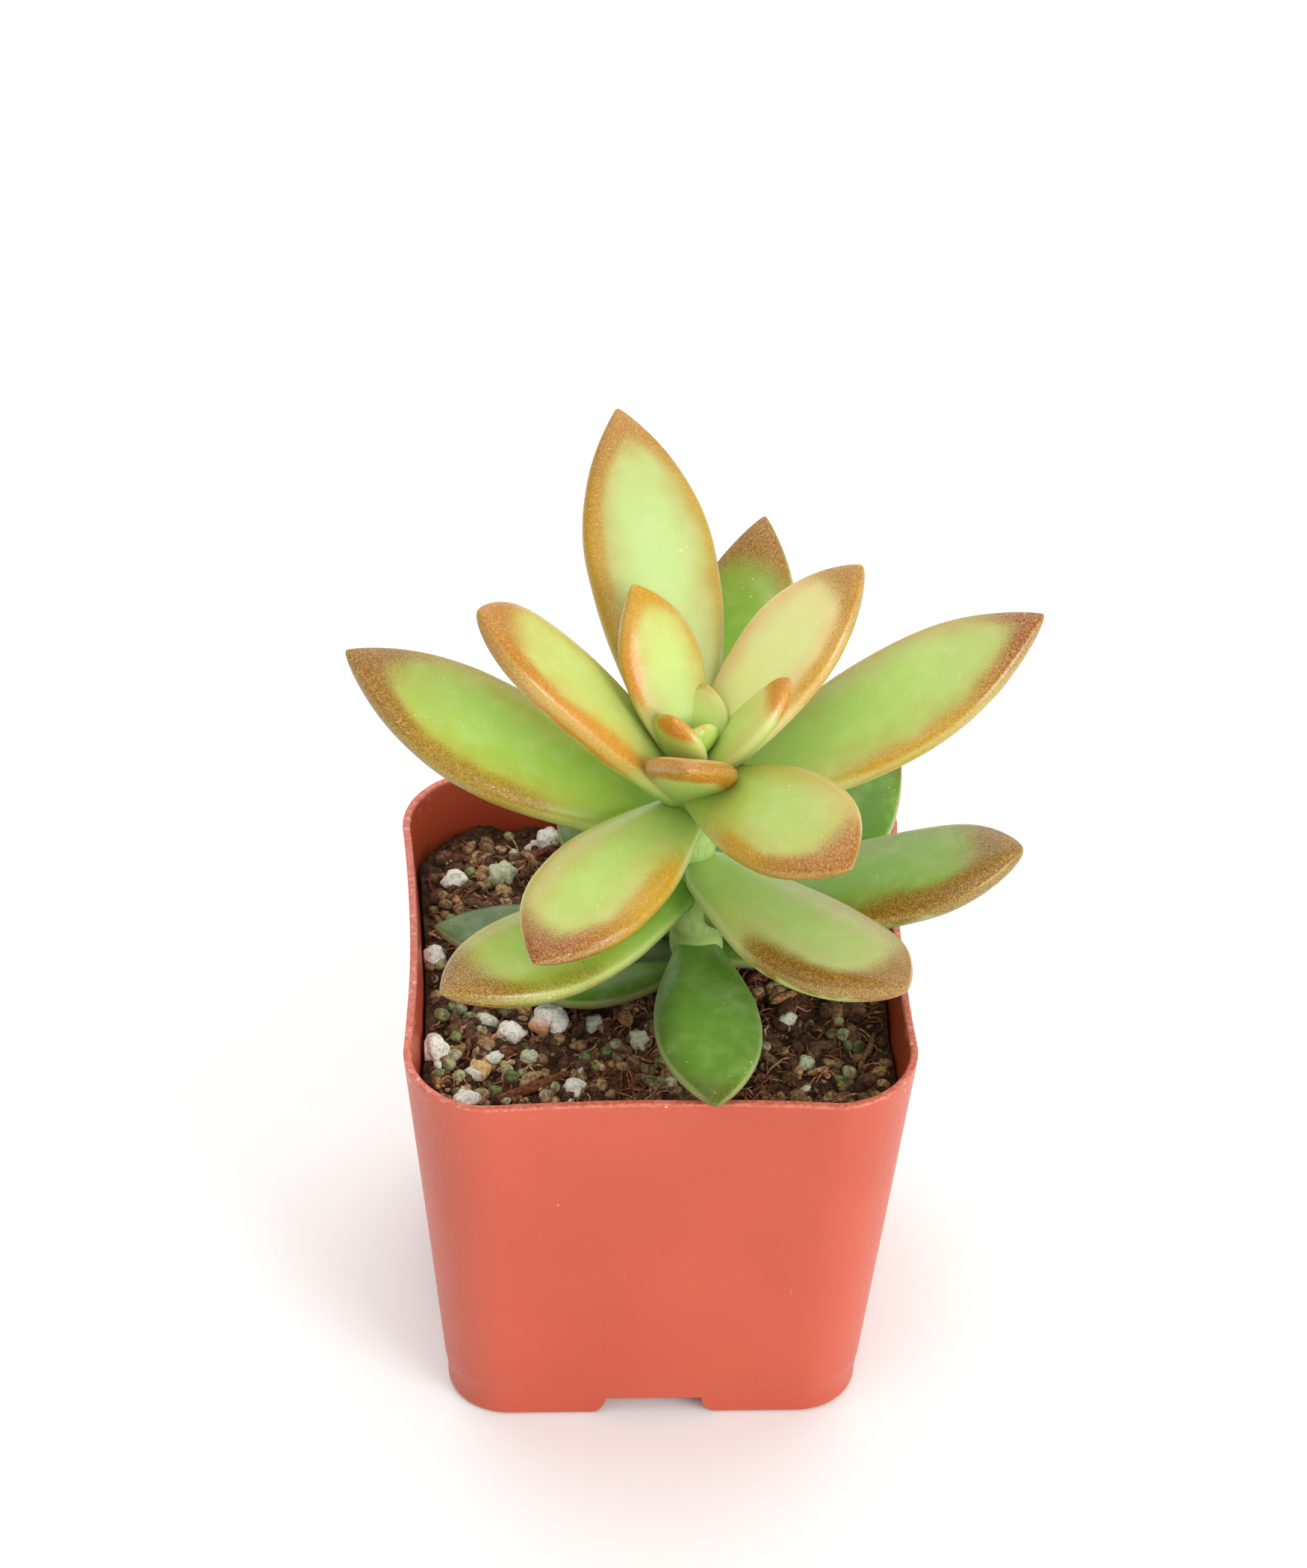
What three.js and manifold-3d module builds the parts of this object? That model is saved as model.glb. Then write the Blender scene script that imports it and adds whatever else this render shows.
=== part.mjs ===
// Potted firestorm sedum: a small rosette succulent in a square plastic nursery pot.
// Millimetres, +Z up. The origin is the middle of the flat pad under the pot,
// and the pot's front, over which one leaf leans, faces -Y.
import * as THREE from 'three';
import { mergeVertices } from 'three/addons/utils/BufferGeometryUtils.js';
import Module from 'manifold-3d';

const wasm = await Module();
wasm.setup();

// Driving dimensions
const GAP = 0.3;

const POT = {
  topWidth: 57,
  baseWidth: 47,
  height: 53.5,
  topCorner: 9.5,
  baseCorner: 7,
  sideBow: 0.75,
  wall: 0.9,
  floor: 1,
  footRound: 0.7,
};

// A notch in the foot of each side lets water out of a drain slot in its roof.
const NOTCH = { width: 11, height: 2.7, cornerRadius: 2.7, depth: 8, slotLength: 7, slotWidth: 2 };

const SOIL = { level: 46.5, relief: 0.55, mound: 0.8, moundReach: 9.5, edgeDrop: 0.6, stemHoleDepth: 8 };

// The stem leans a little to the left as it rises.
const STEM = { footX: 4.8, topX: 3.4, top: 80.5, baseRadius: 2.9, neckRadius: 2.4, crownRadius: 2.1 };

// Proportions that all leaves share. Places along a leaf are shares of its length, and the powers
// shape its outline, its end and its section.
const LEAF = {
  widest: 0.58,
  rootWidth: 0.34,
  swellPower: 1.2,
  thicknessToWidth: 0.38,
  thickest: 0.45,
  rootThickness: 0.62,
  endPower: 2.6,
  shareAboveMargin: 0.38,
  marginPower: 0.85,
  topPower: 0.8,
  undersidePower: 1.05,
};
const LEAF_GRID = { sides: 10, rings: 12 };
const CENTRE_LEAF_GRID = { sides: 8, rings: 8 };

// Each leaf leaves the stem at a height, towards a compass angle from +X, and rises at an angle
// that changes by its bend from root to tip. Twist turns the top face, and point is how sharply
// the outline closes: 2 is a pointed tip and 3 a blunt one.
const CENTRE_LEAVES = [
  { height: 78.5, azimuth: 66, rise: 68, bend: -8, length: 9.5, width: 6.4, twist: 0, point: 2.4 },
  { height: 77.5, azimuth: 229, rise: 69, bend: 3, length: 11, width: 6.8, twist: 0, point: 3 },
  { height: 79.5, azimuth: -58, rise: 72, bend: 3, length: 6.3, width: 5.2, twist: 0, point: 2.4 },
  { height: 80, azimuth: 130, rise: 85, bend: 0, length: 3.6, width: 3, twist: 0, point: 2.6 },
];

const LEAVES = [
  { name: 'leaf_inner_back', height: 77.5, azimuth: 130, rise: 70, bend: -14, length: 23, width: 10.5,
    twist: -2, point: 2.1, colour: 0xd2be62 },
  { name: 'leaf_inner_right', height: 76.5, azimuth: 5, rise: 58, bend: -12, length: 17.5, width: 9,
    twist: 3, point: 2.6, colour: 0xc9ae55 },
  { name: 'leaf_inner_front', height: 72, azimuth: -97, rise: 76, bend: -44, length: 19, width: 10.3,
    twist: 1, point: 2.4, colour: 0xcf9a58 },
  { name: 'leaf_upper_back_right', height: 75.5, azimuth: 28, rise: 58, bend: -20, length: 31.5,
    width: 13, twist: 0, point: 2.3, colour: 0xdcc58a },
  { name: 'leaf_upper_front_right', height: 75, azimuth: -55, rise: 33, bend: -33, length: 29.5,
    width: 14, twist: -16, point: 2.9, colour: 0xb9b35c },
  { name: 'leaf_upper_left', height: 73.5, azimuth: 181, rise: 54, bend: -10, length: 36.5,
    width: 14, twist: 0, point: 3.4, colour: 0xc8b258 },
  { name: 'leaf_upper_back', height: 75.5, azimuth: 104, rise: 51, bend: -20, length: 43.5,
    width: 15, twist: -3, point: 2.1, colour: 0xc0bd62 },
  { name: 'leaf_upper_front_left', height: 72.5, azimuth: -125, rise: 13, bend: -25, length: 32,
    width: 14.5, twist: -3, point: 2.6, colour: 0xb4b65a },
  { name: 'leaf_upper_right', height: 71.5, azimuth: 11, rise: 26, bend: 7, length: 45, width: 15,
    twist: -10, point: 2.1, colour: 0xb5c463 },
  { name: 'leaf_middle_left', height: 69, azimuth: 167, rise: 17, bend: 17, length: 44, width: 15,
    twist: 13, point: 2.1, colour: 0xa3b756 },
  { name: 'leaf_middle_back', height: 67.5, azimuth: 74, rise: 34, bend: 2, length: 38.5,
    width: 13.5, twist: 9, point: 2.1, colour: 0x88ab4c },
  { name: 'leaf_middle_front_right', height: 65, azimuth: -54, rise: 1, bend: 20, length: 37.5,
    width: 14.5, twist: 2, point: 2.6, colour: 0x9eae56 },
  { name: 'leaf_middle_front_left', height: 62, azimuth: -139, rise: 1, bend: 15, length: 38.5,
    width: 14, twist: 0, point: 2.4, colour: 0x8fae4e },
  { name: 'leaf_lower_right', height: 57.5, azimuth: -10, rise: 15, bend: 12, length: 39,
    width: 14.5, twist: -1, point: 3.2, colour: 0x87a548 },
  { name: 'leaf_lower_back', height: 56.5, azimuth: 98, rise: 10, bend: 6, length: 33, width: 13.5,
    twist: 0, point: 2.3, colour: 0x75a04a },
  { name: 'leaf_lower_back_right', height: 53.5, azimuth: 41, rise: 8, bend: 11, length: 33,
    width: 14, twist: -10, point: 2.1, colour: 0x6b9a4f },
  { name: 'leaf_lower_front', height: 52.5, azimuth: -88, rise: 12, bend: -12, length: 30.8,
    width: 12, twist: 1, point: 2.4, colour: 0x5f9440 },
  { name: 'leaf_lower_back_left', height: 52.5, azimuth: 128, rise: 4, bend: 4, length: 25,
    width: 8.5, twist: 0, point: 2.3, colour: 0x5f8a40 },
  { name: 'leaf_base_left', height: 50.5, azimuth: 172, rise: 0, bend: 2, length: 30, width: 10.5,
    twist: 0, point: 2.4, colour: 0x7d9c74 },
  { name: 'leaf_base_front_left', height: 50, azimuth: -162, rise: 0, bend: 2, length: 20, width: 9,
    twist: 0, point: 2.4, colour: 0x5e8f45 },
  { name: 'leaf_base_right', height: 50.5, azimuth: 5, rise: 7, bend: 6, length: 22, width: 9.5,
    twist: 0, point: 2.3, colour: 0x7aa65a },
  { name: 'leaf_base_back', height: 50.5, azimuth: 66, rise: 3, bend: 5, length: 25, width: 10.5,
    twist: 0, point: 2.3, colour: 0x5e8f45 },
];

// Perlite lumps, bark crumbs and a root splinter that stand out on the soil.
const LUMPS = [
  { x: -12, y: -7.5, size: 4.4 },
  { x: -25, y: -11.5, size: 3.4 },
  { x: -16.5, y: -9.5, size: 3 },
  { x: -21.5, y: -20.5, size: 3.2 },
  { x: -9.5, y: -18, size: 2.6 },
  { x: -2, y: -11, size: 2.4 },
  { x: -20, y: -15, size: 2.6 },
  { x: -14.5, y: -13.5, size: 2 },
  { x: -11.5, y: 23.5, size: 3 },
  { x: -22.5, y: 16.5, size: 2.8 },
  { x: -17, y: 17.5, size: 3.2 },
  { x: -25, y: 3.5, size: 2.6 },
  { x: 16.5, y: -14.5, size: 2 },
  { x: 19.5, y: 15, size: 2.8 },
  { x: 9, y: 22, size: 2.6 },
];
const LUMP = { smallestPush: 0.85, pushRange: 0.4, flatness: 0.8, lift: 0.12 };
const CRUMBS = { count: 34, smallest: 1.3, largest: 2.3, fromStem: 5, fromWall: 4.5, seed: 17 };
const SPLINTERS = [
  { from: [-18.5, -20.5], to: [-10, -16], thickness: 1.5 },
  { from: [-15.5, 21], to: [-10.5, 21.5], thickness: 1.2 },
  { from: [22.5, -15], to: [24.5, -9.5], thickness: 1.3 },
];

const COLOURS = { pot: 0xd86850, soil: 0x3a271b, stem: 0x9dbb62 };

// Solids and booleans
const MERGE_DISTANCE = 1e-4;

function mergedCorners(geometry) {
  const bare = geometry.clone();
  bare.deleteAttribute('normal');
  bare.deleteAttribute('uv');
  return mergeVertices(bare, MERGE_DISTANCE);
}

function toSolid(geometry) {
  const merged = mergedCorners(geometry);
  return new wasm.Manifold(new wasm.Mesh({
    numProp: 3,
    vertProperties: new Float32Array(merged.attributes.position.array),
    triVerts: new Uint32Array(merged.index.array),
  }));
}

function toGeometry(solid) {
  const mesh = solid.getMesh();
  const geometry = new THREE.BufferGeometry();
  geometry.setAttribute('position', new THREE.BufferAttribute(new Float32Array(mesh.vertProperties), 3));
  geometry.setIndex(new THREE.BufferAttribute(new Uint32Array(mesh.triVerts), 1));
  geometry.computeVertexNormals();
  return geometry;
}

// A cut can leave scraps beside the piece itself, so only the largest body is kept.
function largestBody(solid) {
  return solid.decompose().reduce((best, body) => (body.volume() > best.volume() ? body : best));
}

function joined(solids) {
  return solids.reduce((sum, solid) => sum.add(solid));
}

// A closed solid through rings of equal point counts, from the lowest ring to the highest.
function loft(rings) {
  const count = rings[0].length;
  const centres = [rings[0], rings[rings.length - 1]].map(ringCentre);
  const points = [...rings.flat(), ...centres];
  const foot = points.length - 2;
  const head = points.length - 1;
  const lastRing = (rings.length - 1) * count;
  const faces = [];
  for (let i = 0; i < count; i += 1) {
    const next = (i + 1) % count;
    faces.push(foot, next, i, head, lastRing + i, lastRing + next);
    for (let ring = 0; ring < lastRing; ring += count) {
      faces.push(ring + i, ring + next, ring + count + next);
      faces.push(ring + i, ring + count + next, ring + count + i);
    }
  }
  const geometry = new THREE.BufferGeometry().setFromPoints(points);
  geometry.setIndex(faces);
  return geometry;
}

function ringCentre(ring) {
  const sum = ring.reduce((total, point) => total.add(point), new THREE.Vector3());
  return sum.divideScalar(ring.length);
}

function seededRandom(seed) {
  let state = seed;
  return () => {
    state = (state * 1664525 + 1013904223) % 4294967296;
    return state / 4294967296;
  };
}

// Pot
const CORNER_STEPS = 5;
const SIDE_STEPS = 4;

// One level of the pot, a rounded square with sides bowed inwards, moved in by an inset.
function potRing(z, inset = 0) {
  const share = z / POT.height;
  const half = THREE.MathUtils.lerp(POT.baseWidth, POT.topWidth, share) / 2 - inset;
  const corner = Math.max(THREE.MathUtils.lerp(POT.baseCorner, POT.topCorner, share) - inset, 1);
  const bow = POT.sideBow * share;
  const straight = half - corner;
  const ring = [];
  for (let side = 0; side < 4; side += 1) {
    const turn = side * Math.PI / 2;
    for (let i = 0; i < SIDE_STEPS; i += 1) {
      const along = -1 + 2 * i / SIDE_STEPS;
      ring.push(new THREE.Vector2(half - bow * (1 - along * along), along * straight));
      ring[ring.length - 1].rotateAround(new THREE.Vector2(), turn);
    }
    for (let i = 0; i < CORNER_STEPS; i += 1) {
      const angle = (i / CORNER_STEPS) * Math.PI / 2;
      const x = straight + corner * Math.cos(angle);
      ring.push(new THREE.Vector2(x, straight + corner * Math.sin(angle)));
      ring[ring.length - 1].rotateAround(new THREE.Vector2(), turn);
    }
  }
  return ring.map((point) => new THREE.Vector3(point.x, point.y, z));
}

// The four notches in the foot, one under the middle of each side.
function aroundSides(make) {
  return [0, 1, 2, 3].map((side) => {
    const geometry = make();
    geometry.rotateZ(side * Math.PI / 2);
    return toSolid(geometry);
  });
}

function notchCut() {
  const half = NOTCH.width / 2;
  const radius = NOTCH.cornerRadius;
  const shape = new THREE.Shape();
  shape.moveTo(-half - radius, -1);
  shape.lineTo(-half - radius, 0);
  shape.absarc(-half - radius, radius, radius, -Math.PI / 2, 0, false);
  shape.lineTo(-half, NOTCH.height);
  shape.lineTo(half, NOTCH.height);
  shape.absarc(half + radius, radius, radius, Math.PI, Math.PI * 1.5, false);
  shape.lineTo(half + radius, -1);
  const pastWall = 3;
  const geometry = new THREE.ExtrudeGeometry(shape, {
    depth: NOTCH.depth + pastWall,
    bevelEnabled: false,
    curveSegments: 4,
  });
  geometry.rotateX(Math.PI / 2);
  geometry.translate(0, NOTCH.depth - POT.baseWidth / 2, 0);
  return geometry;
}

// The raised part of the floor over a notch, grown where a neighbour has to stay clear of it.
function notchRoof(grow) {
  const width = NOTCH.width + 2 * (NOTCH.cornerRadius + POT.wall + grow);
  const depth = NOTCH.depth + POT.wall + grow;
  const height = NOTCH.height + POT.wall + grow;
  const geometry = new THREE.BoxGeometry(width, depth, height);
  geometry.translate(0, depth / 2 - POT.baseWidth / 2, height / 2);
  return geometry;
}

function drainSlot() {
  const geometry = new THREE.BoxGeometry(NOTCH.slotLength, NOTCH.slotWidth, 4 * NOTCH.height);
  geometry.translate(0, NOTCH.depth * 0.6 - POT.baseWidth / 2, 0);
  return geometry;
}

function potSolid() {
  const body = toSolid(loft([
    potRing(0, POT.footRound),
    potRing(POT.footRound * 0.3, POT.footRound * 0.3),
    potRing(POT.footRound),
    potRing(POT.height),
  ]));
  const aboveRim = POT.height + 2;
  const inside = toSolid(loft([potRing(POT.floor, POT.wall), potRing(aboveRim, POT.wall)]))
    .subtract(joined(aroundSides(() => notchRoof(0))));
  return body
    .subtract(inside)
    .subtract(joined(aroundSides(notchCut)))
    .subtract(joined(aroundSides(drainSlot)));
}

// Soil
function soilHeight(x, y) {
  const fromStem = Math.hypot(x - STEM.footX, y) / SOIL.moundReach;
  const toWall = Math.max(Math.abs(x), Math.abs(y)) / (POT.topWidth / 2);
  const waves = Math.sin(0.62 * x + 1.3) * Math.cos(0.55 * y - 0.4) + 0.6 * Math.sin(1.1 * x - 0.8 * y);
  const mound = SOIL.mound * Math.exp(-fromStem * fromStem);
  return SOIL.level + SOIL.relief * waves + mound - SOIL.edgeDrop * toWall ** 6;
}

const SOIL_BANDS = 7;

function soilBed() {
  const inset = POT.wall + GAP;
  const rings = [potRing(POT.floor + GAP, inset)];
  const rim = potRing(SOIL.level, inset);
  for (let band = SOIL_BANDS; band > 0; band -= 1) {
    rings.push(rim.map((point) => {
      const x = point.x * band / SOIL_BANDS;
      const y = point.y * band / SOIL_BANDS;
      return new THREE.Vector3(x, y, soilHeight(x, y));
    }));
  }
  return loft(rings);
}

// A rough lump: an icosahedron with each corner pushed in or out, sunk into the soil.
function lump(x, y, size, random) {
  const geometry = mergedCorners(new THREE.IcosahedronGeometry(size / 2, 0));
  const corners = geometry.attributes.position;
  const point = new THREE.Vector3();
  for (let i = 0; i < corners.count; i += 1) {
    point.fromBufferAttribute(corners, i);
    point.multiplyScalar(LUMP.smallestPush + LUMP.pushRange * random());
    corners.setXYZ(i, point.x, point.y, point.z * LUMP.flatness);
  }
  geometry.rotateZ(random() * Math.PI);
  geometry.translate(x, y, soilHeight(x, y) + size * LUMP.lift);
  return toSolid(geometry);
}

function splinter({ from, to, thickness }) {
  const [start, end] = [from, to].map(([x, y]) => new THREE.Vector3(x, y, soilHeight(x, y) + thickness / 4));
  const span = end.clone().sub(start);
  const geometry = new THREE.CylinderGeometry(thickness / 3, thickness / 2, span.length(), 6);
  const upright = new THREE.Vector3(0, 1, 0);
  geometry.applyQuaternion(new THREE.Quaternion().setFromUnitVectors(upright, span.clone().normalize()));
  geometry.translate(...start.add(end).divideScalar(2).toArray());
  return toSolid(geometry);
}

function crumbs() {
  const random = seededRandom(CRUMBS.seed);
  const reach = POT.topWidth / 2 - CRUMBS.fromWall;
  const pieces = LUMPS.map(({ x, y, size }) => lump(x, y, size, random));
  for (let i = 0; i < CRUMBS.count; i += 1) {
    const x = (random() * 2 - 1) * reach;
    const y = (random() * 2 - 1) * reach;
    const size = THREE.MathUtils.lerp(CRUMBS.smallest, CRUMBS.largest, random());
    const nearStem = Math.hypot(x - STEM.footX, y) < CRUMBS.fromStem;
    const pastCorner = Math.hypot(x, y) > reach + POT.topCorner / 2;
    if (!nearStem && !pastCorner) {
      pieces.push(lump(x, y, size, random));
    }
  }
  return joined(pieces);
}

function soilSolid(neighbours) {
  const bed = toSolid(soilBed());
  const inside = toSolid(loft([
    potRing(POT.floor + GAP, POT.wall + GAP),
    potRing(POT.height, POT.wall + GAP),
  ]));
  const soil = bed
    .add(crumbs().add(joined(SPLINTERS.map(splinter))))
    .intersect(inside)
    .subtract(joined(aroundSides(() => notchRoof(GAP))))
    .subtract(neighbours);
  return largestBody(soil);
}

// Stem, with the tiny centre leaves that close its crown
const STEM_GRID = { sides: 14, rings: 12 };
const stemFoot = SOIL.level - SOIL.stemHoleDepth;

function stemX(z) {
  return THREE.MathUtils.mapLinear(z, SOIL.level, STEM.top, STEM.footX, STEM.topX);
}

function stemShaft(grow) {
  const profile = new THREE.SplineCurve([
    new THREE.Vector2(STEM.baseRadius * 0.8, stemFoot),
    new THREE.Vector2(STEM.baseRadius, SOIL.level - 3),
    new THREE.Vector2(STEM.baseRadius, SOIL.level + 4),
    new THREE.Vector2(STEM.neckRadius, (SOIL.level + STEM.top) / 2),
    new THREE.Vector2(STEM.crownRadius, STEM.top - 5),
    new THREE.Vector2(STEM.crownRadius * 0.7, STEM.top - 1),
  ]).getPoints(STEM_GRID.rings).map((point) => new THREE.Vector2(point.x + grow, point.y));
  profile.unshift(new THREE.Vector2(0, stemFoot - 1 - grow));
  profile.push(new THREE.Vector2(0, STEM.top + grow));
  const geometry = new THREE.LatheGeometry(profile, STEM_GRID.sides);
  geometry.rotateX(Math.PI / 2);
  const lean = (STEM.topX - STEM.footX) / (STEM.top - SOIL.level);
  geometry.applyMatrix4(new THREE.Matrix4().makeShear(0, 0, 0, 0, lean, 0));
  geometry.translate(stemX(0), 0, 0);
  return toSolid(geometry);
}

function stemSolid(grow) {
  const centre = CENTRE_LEAVES.map((spec) => leafSolid(spec, grow, CENTRE_LEAF_GRID));
  return joined([stemShaft(grow), ...centre]);
}

// Leaves
// The spine of a leaf is an arc in the upright plane of its azimuth, and starts on the stem's axis.
function spine(spec, u) {
  const rise = THREE.MathUtils.degToRad(spec.rise);
  const bend = THREE.MathUtils.degToRad(spec.bend) * u;
  const chord = spec.length * u * sinOverAngle(bend / 2);
  const chordAngle = rise + bend / 2;
  return { out: chord * Math.cos(chordAngle), up: chord * Math.sin(chordAngle), angle: rise + bend };
}

function sinOverAngle(angle) {
  return angle === 0 ? 1 : Math.sin(angle) / angle;
}

function swell(rootShare, progress) {
  return rootShare + (1 - rootShare) * Math.sin(Math.PI / 2 * progress);
}

function widthShare(u, point) {
  if (u < LEAF.widest) {
    return swell(LEAF.rootWidth, (u / LEAF.widest) ** LEAF.swellPower);
  }
  return 1 - ((u - LEAF.widest) / (1 - LEAF.widest)) ** point;
}

function thicknessShare(u) {
  if (u < LEAF.thickest) {
    return swell(LEAF.rootThickness, u / LEAF.thickest);
  }
  return Math.sqrt(1 - ((u - LEAF.thickest) / (1 - LEAF.thickest)) ** LEAF.endPower);
}

// A point on the skin, from root (u = 0) to tip (u = 1) and round the section by an angle.
// The section is flatter above its margins and fuller, like a boat, below them.
function skinPoint(spec, u, around, grow) {
  const { out, up, angle } = spine(spec, u * (1 + grow / spec.length));
  if (u === 0 || u === 1) {
    return new THREE.Vector3(out, 0, up);
  }
  const halfWidth = spec.width / 2 * widthShare(u, spec.point) + grow;
  const thickness = spec.width * LEAF.thicknessToWidth * thicknessShare(u);
  const [cosine, sine] = [Math.cos(around), Math.sin(around)];
  const across = halfWidth * Math.sign(cosine) * Math.abs(cosine) ** LEAF.marginPower;
  const height = sine > 0
    ? (thickness * LEAF.shareAboveMargin + grow) * sine ** LEAF.topPower
    : -(thickness * (1 - LEAF.shareAboveMargin) + grow) * (-sine) ** LEAF.undersidePower;
  const twist = THREE.MathUtils.degToRad(spec.twist);
  const side = across * Math.cos(twist) + height * Math.sin(twist);
  const normal = height * Math.cos(twist) - across * Math.sin(twist);
  return new THREE.Vector3(out - normal * Math.sin(angle), side, up + normal * Math.cos(angle));
}

// The leaf's own frame: x outwards, z up, with its root end at the origin.
function leafPlace(spec) {
  const place = new THREE.Matrix4().makeRotationZ(THREE.MathUtils.degToRad(spec.azimuth));
  return place.setPosition(stemX(spec.height), 0, spec.height);
}

// A sphere's grid, whose two poles become the root and the tip, bent into the leaf's skin.
function leafSolid(spec, grow, { sides, rings } = LEAF_GRID) {
  const geometry = new THREE.SphereGeometry(1, sides, rings);
  const { position, uv } = geometry.attributes;
  for (let i = 0; i < position.count; i += 1) {
    const u = Math.round(uv.getY(i) * rings) / rings;
    const around = 2 * Math.PI * uv.getX(i);
    position.setXYZ(i, ...skinPoint(spec, u, around, grow).toArray());
  }
  geometry.applyMatrix4(leafPlace(spec));
  return toSolid(geometry);
}

function leafMesh(spec, solid) {
  const place = leafPlace(spec);
  const geometry = toGeometry(solid).applyMatrix4(place.clone().invert());
  const mesh = new THREE.Mesh(geometry, plantMaterial(spec.colour));
  mesh.name = spec.name;
  mesh.applyMatrix4(place);
  return mesh;
}

function plantMaterial(color) {
  return new THREE.MeshStandardMaterial({ color, roughness: 0.45, metalness: 0 });
}

// Assembly
const stem = stemSolid(0);
let taken = stemSolid(GAP);
const leaves = new THREE.Group();
for (const spec of LEAVES) {
  leaves.add(leafMesh(spec, largestBody(leafSolid(spec, 0).subtract(taken))));
  taken = taken.add(leafSolid(spec, GAP));
}

const stemMesh = new THREE.Mesh(toGeometry(stem), plantMaterial(COLOURS.stem));
stemMesh.name = 'stem_with_crown';

const plant = new THREE.Group();
plant.add(stemMesh, leaves);

const soilMesh = new THREE.Mesh(
  toGeometry(soilSolid(taken)),
  new THREE.MeshStandardMaterial({ color: COLOURS.soil, roughness: 0.95, metalness: 0 }),
);
soilMesh.name = 'potting_soil';

const potMesh = new THREE.Mesh(
  toGeometry(potSolid()),
  new THREE.MeshStandardMaterial({ color: COLOURS.pot, roughness: 0.4, metalness: 0 }),
);
potMesh.name = 'nursery_pot';

const pottedSedum = new THREE.Group();
pottedSedum.add(potMesh, soilMesh, plant);

export default pottedSedum;
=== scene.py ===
import math
from collections import namedtuple

import bmesh
import bpy
import numpy as np
from mathutils import Matrix, Vector, noise


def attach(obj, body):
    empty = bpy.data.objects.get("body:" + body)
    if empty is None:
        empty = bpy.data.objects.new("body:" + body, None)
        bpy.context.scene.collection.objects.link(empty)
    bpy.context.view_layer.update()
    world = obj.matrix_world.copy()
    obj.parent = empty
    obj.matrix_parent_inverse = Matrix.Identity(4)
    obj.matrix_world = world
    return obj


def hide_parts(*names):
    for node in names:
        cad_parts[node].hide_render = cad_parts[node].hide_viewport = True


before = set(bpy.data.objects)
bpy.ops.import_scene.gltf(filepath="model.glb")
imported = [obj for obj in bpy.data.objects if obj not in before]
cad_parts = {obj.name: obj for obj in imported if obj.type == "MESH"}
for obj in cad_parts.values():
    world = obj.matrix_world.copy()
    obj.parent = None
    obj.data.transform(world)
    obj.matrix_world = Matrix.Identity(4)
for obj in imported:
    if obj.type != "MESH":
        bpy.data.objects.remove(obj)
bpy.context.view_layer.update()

MM = 0.001

# Driving dimensions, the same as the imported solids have
POT = dict(top_width=57, base_width=47, height=53.5, top_corner=9.5, base_corner=7, bow=0.75)
WALL = 0.9
FOOT_ROUND = 0.7
NOTCH = dict(width=11, height=2.7, corner=2.7, depth=8, slot_length=7, slot_width=2)
SOIL = dict(level=46.5, relief=0.55, mound=0.8, mound_reach=9.5, edge_drop=0.6, gap=0.35)
STEM = dict(foot_x=4.8, top_x=3.4, foot=38.5, top=80.5)

# Each leaf leaves the stem at a height, towards an azimuth from +X, and rises at an angle that
# changes by its bend from root to tip. Twist turns its face, point is how bluntly its outline
# closes, from 2 for a pointed one, and blunt is how far its very end is rounded off.
Leaf = namedtuple("Leaf", "height azimuth rise bend length width twist point blunt", defaults=(0.035,))

# Leaf colours, without the gloss that whitens them. The darker greens of the lowest leaves paint in part
# the shade that falls on them.
CREAM = "dade90"
PALE_LIME = "b6cc80"
LIME = "aeca66"
YELLOW_LIME = "bccc6c"
SPRING = "a2ba50"
FRESH = "9cbe4a"
MINT = "aeca6a"
GREEN = "84b03e"
GRASS = "6e9a38"
DEEP = "5e8428"
DARK = "446620"
BOTTLE = "445810"
SHADED_GREY_GREEN = "56683e"
STRAW = "b89a46"
GOLD = "aa820c"
HONEY = "b48618"
ORANGE = "bc7616"
AMBER = "a0640c"
PEACH = "dcac74"
ROSE = "c08c68"
TAN = "ae923c"
BRONZE = "9c6c20"
OLIVE = "886c06"
OLIVE_DARK = "5c5806"
UMBER = "744e08"
BROWN = "7c4e08"
RUST = "8c5014"
CHESTNUT = "803c14"
# A pale line painted along the margins as their highlight
RIM_HIGHLIGHT = "dcd098"

# How each leaf is coloured: its face near the root and near the tip, underside, soft veil along the
# margins, dotted band at the ridges and tip, the strengths of veil and band on its left and right,
# how many millimetres in from the margin the band reaches, where on the length the band and the tip
# start, and how far the band wraps round to the underside.
Look = namedtuple("Look", "face end below veil band tip left right reach start tip_from wrap",
                  defaults=(1.2,))

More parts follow.
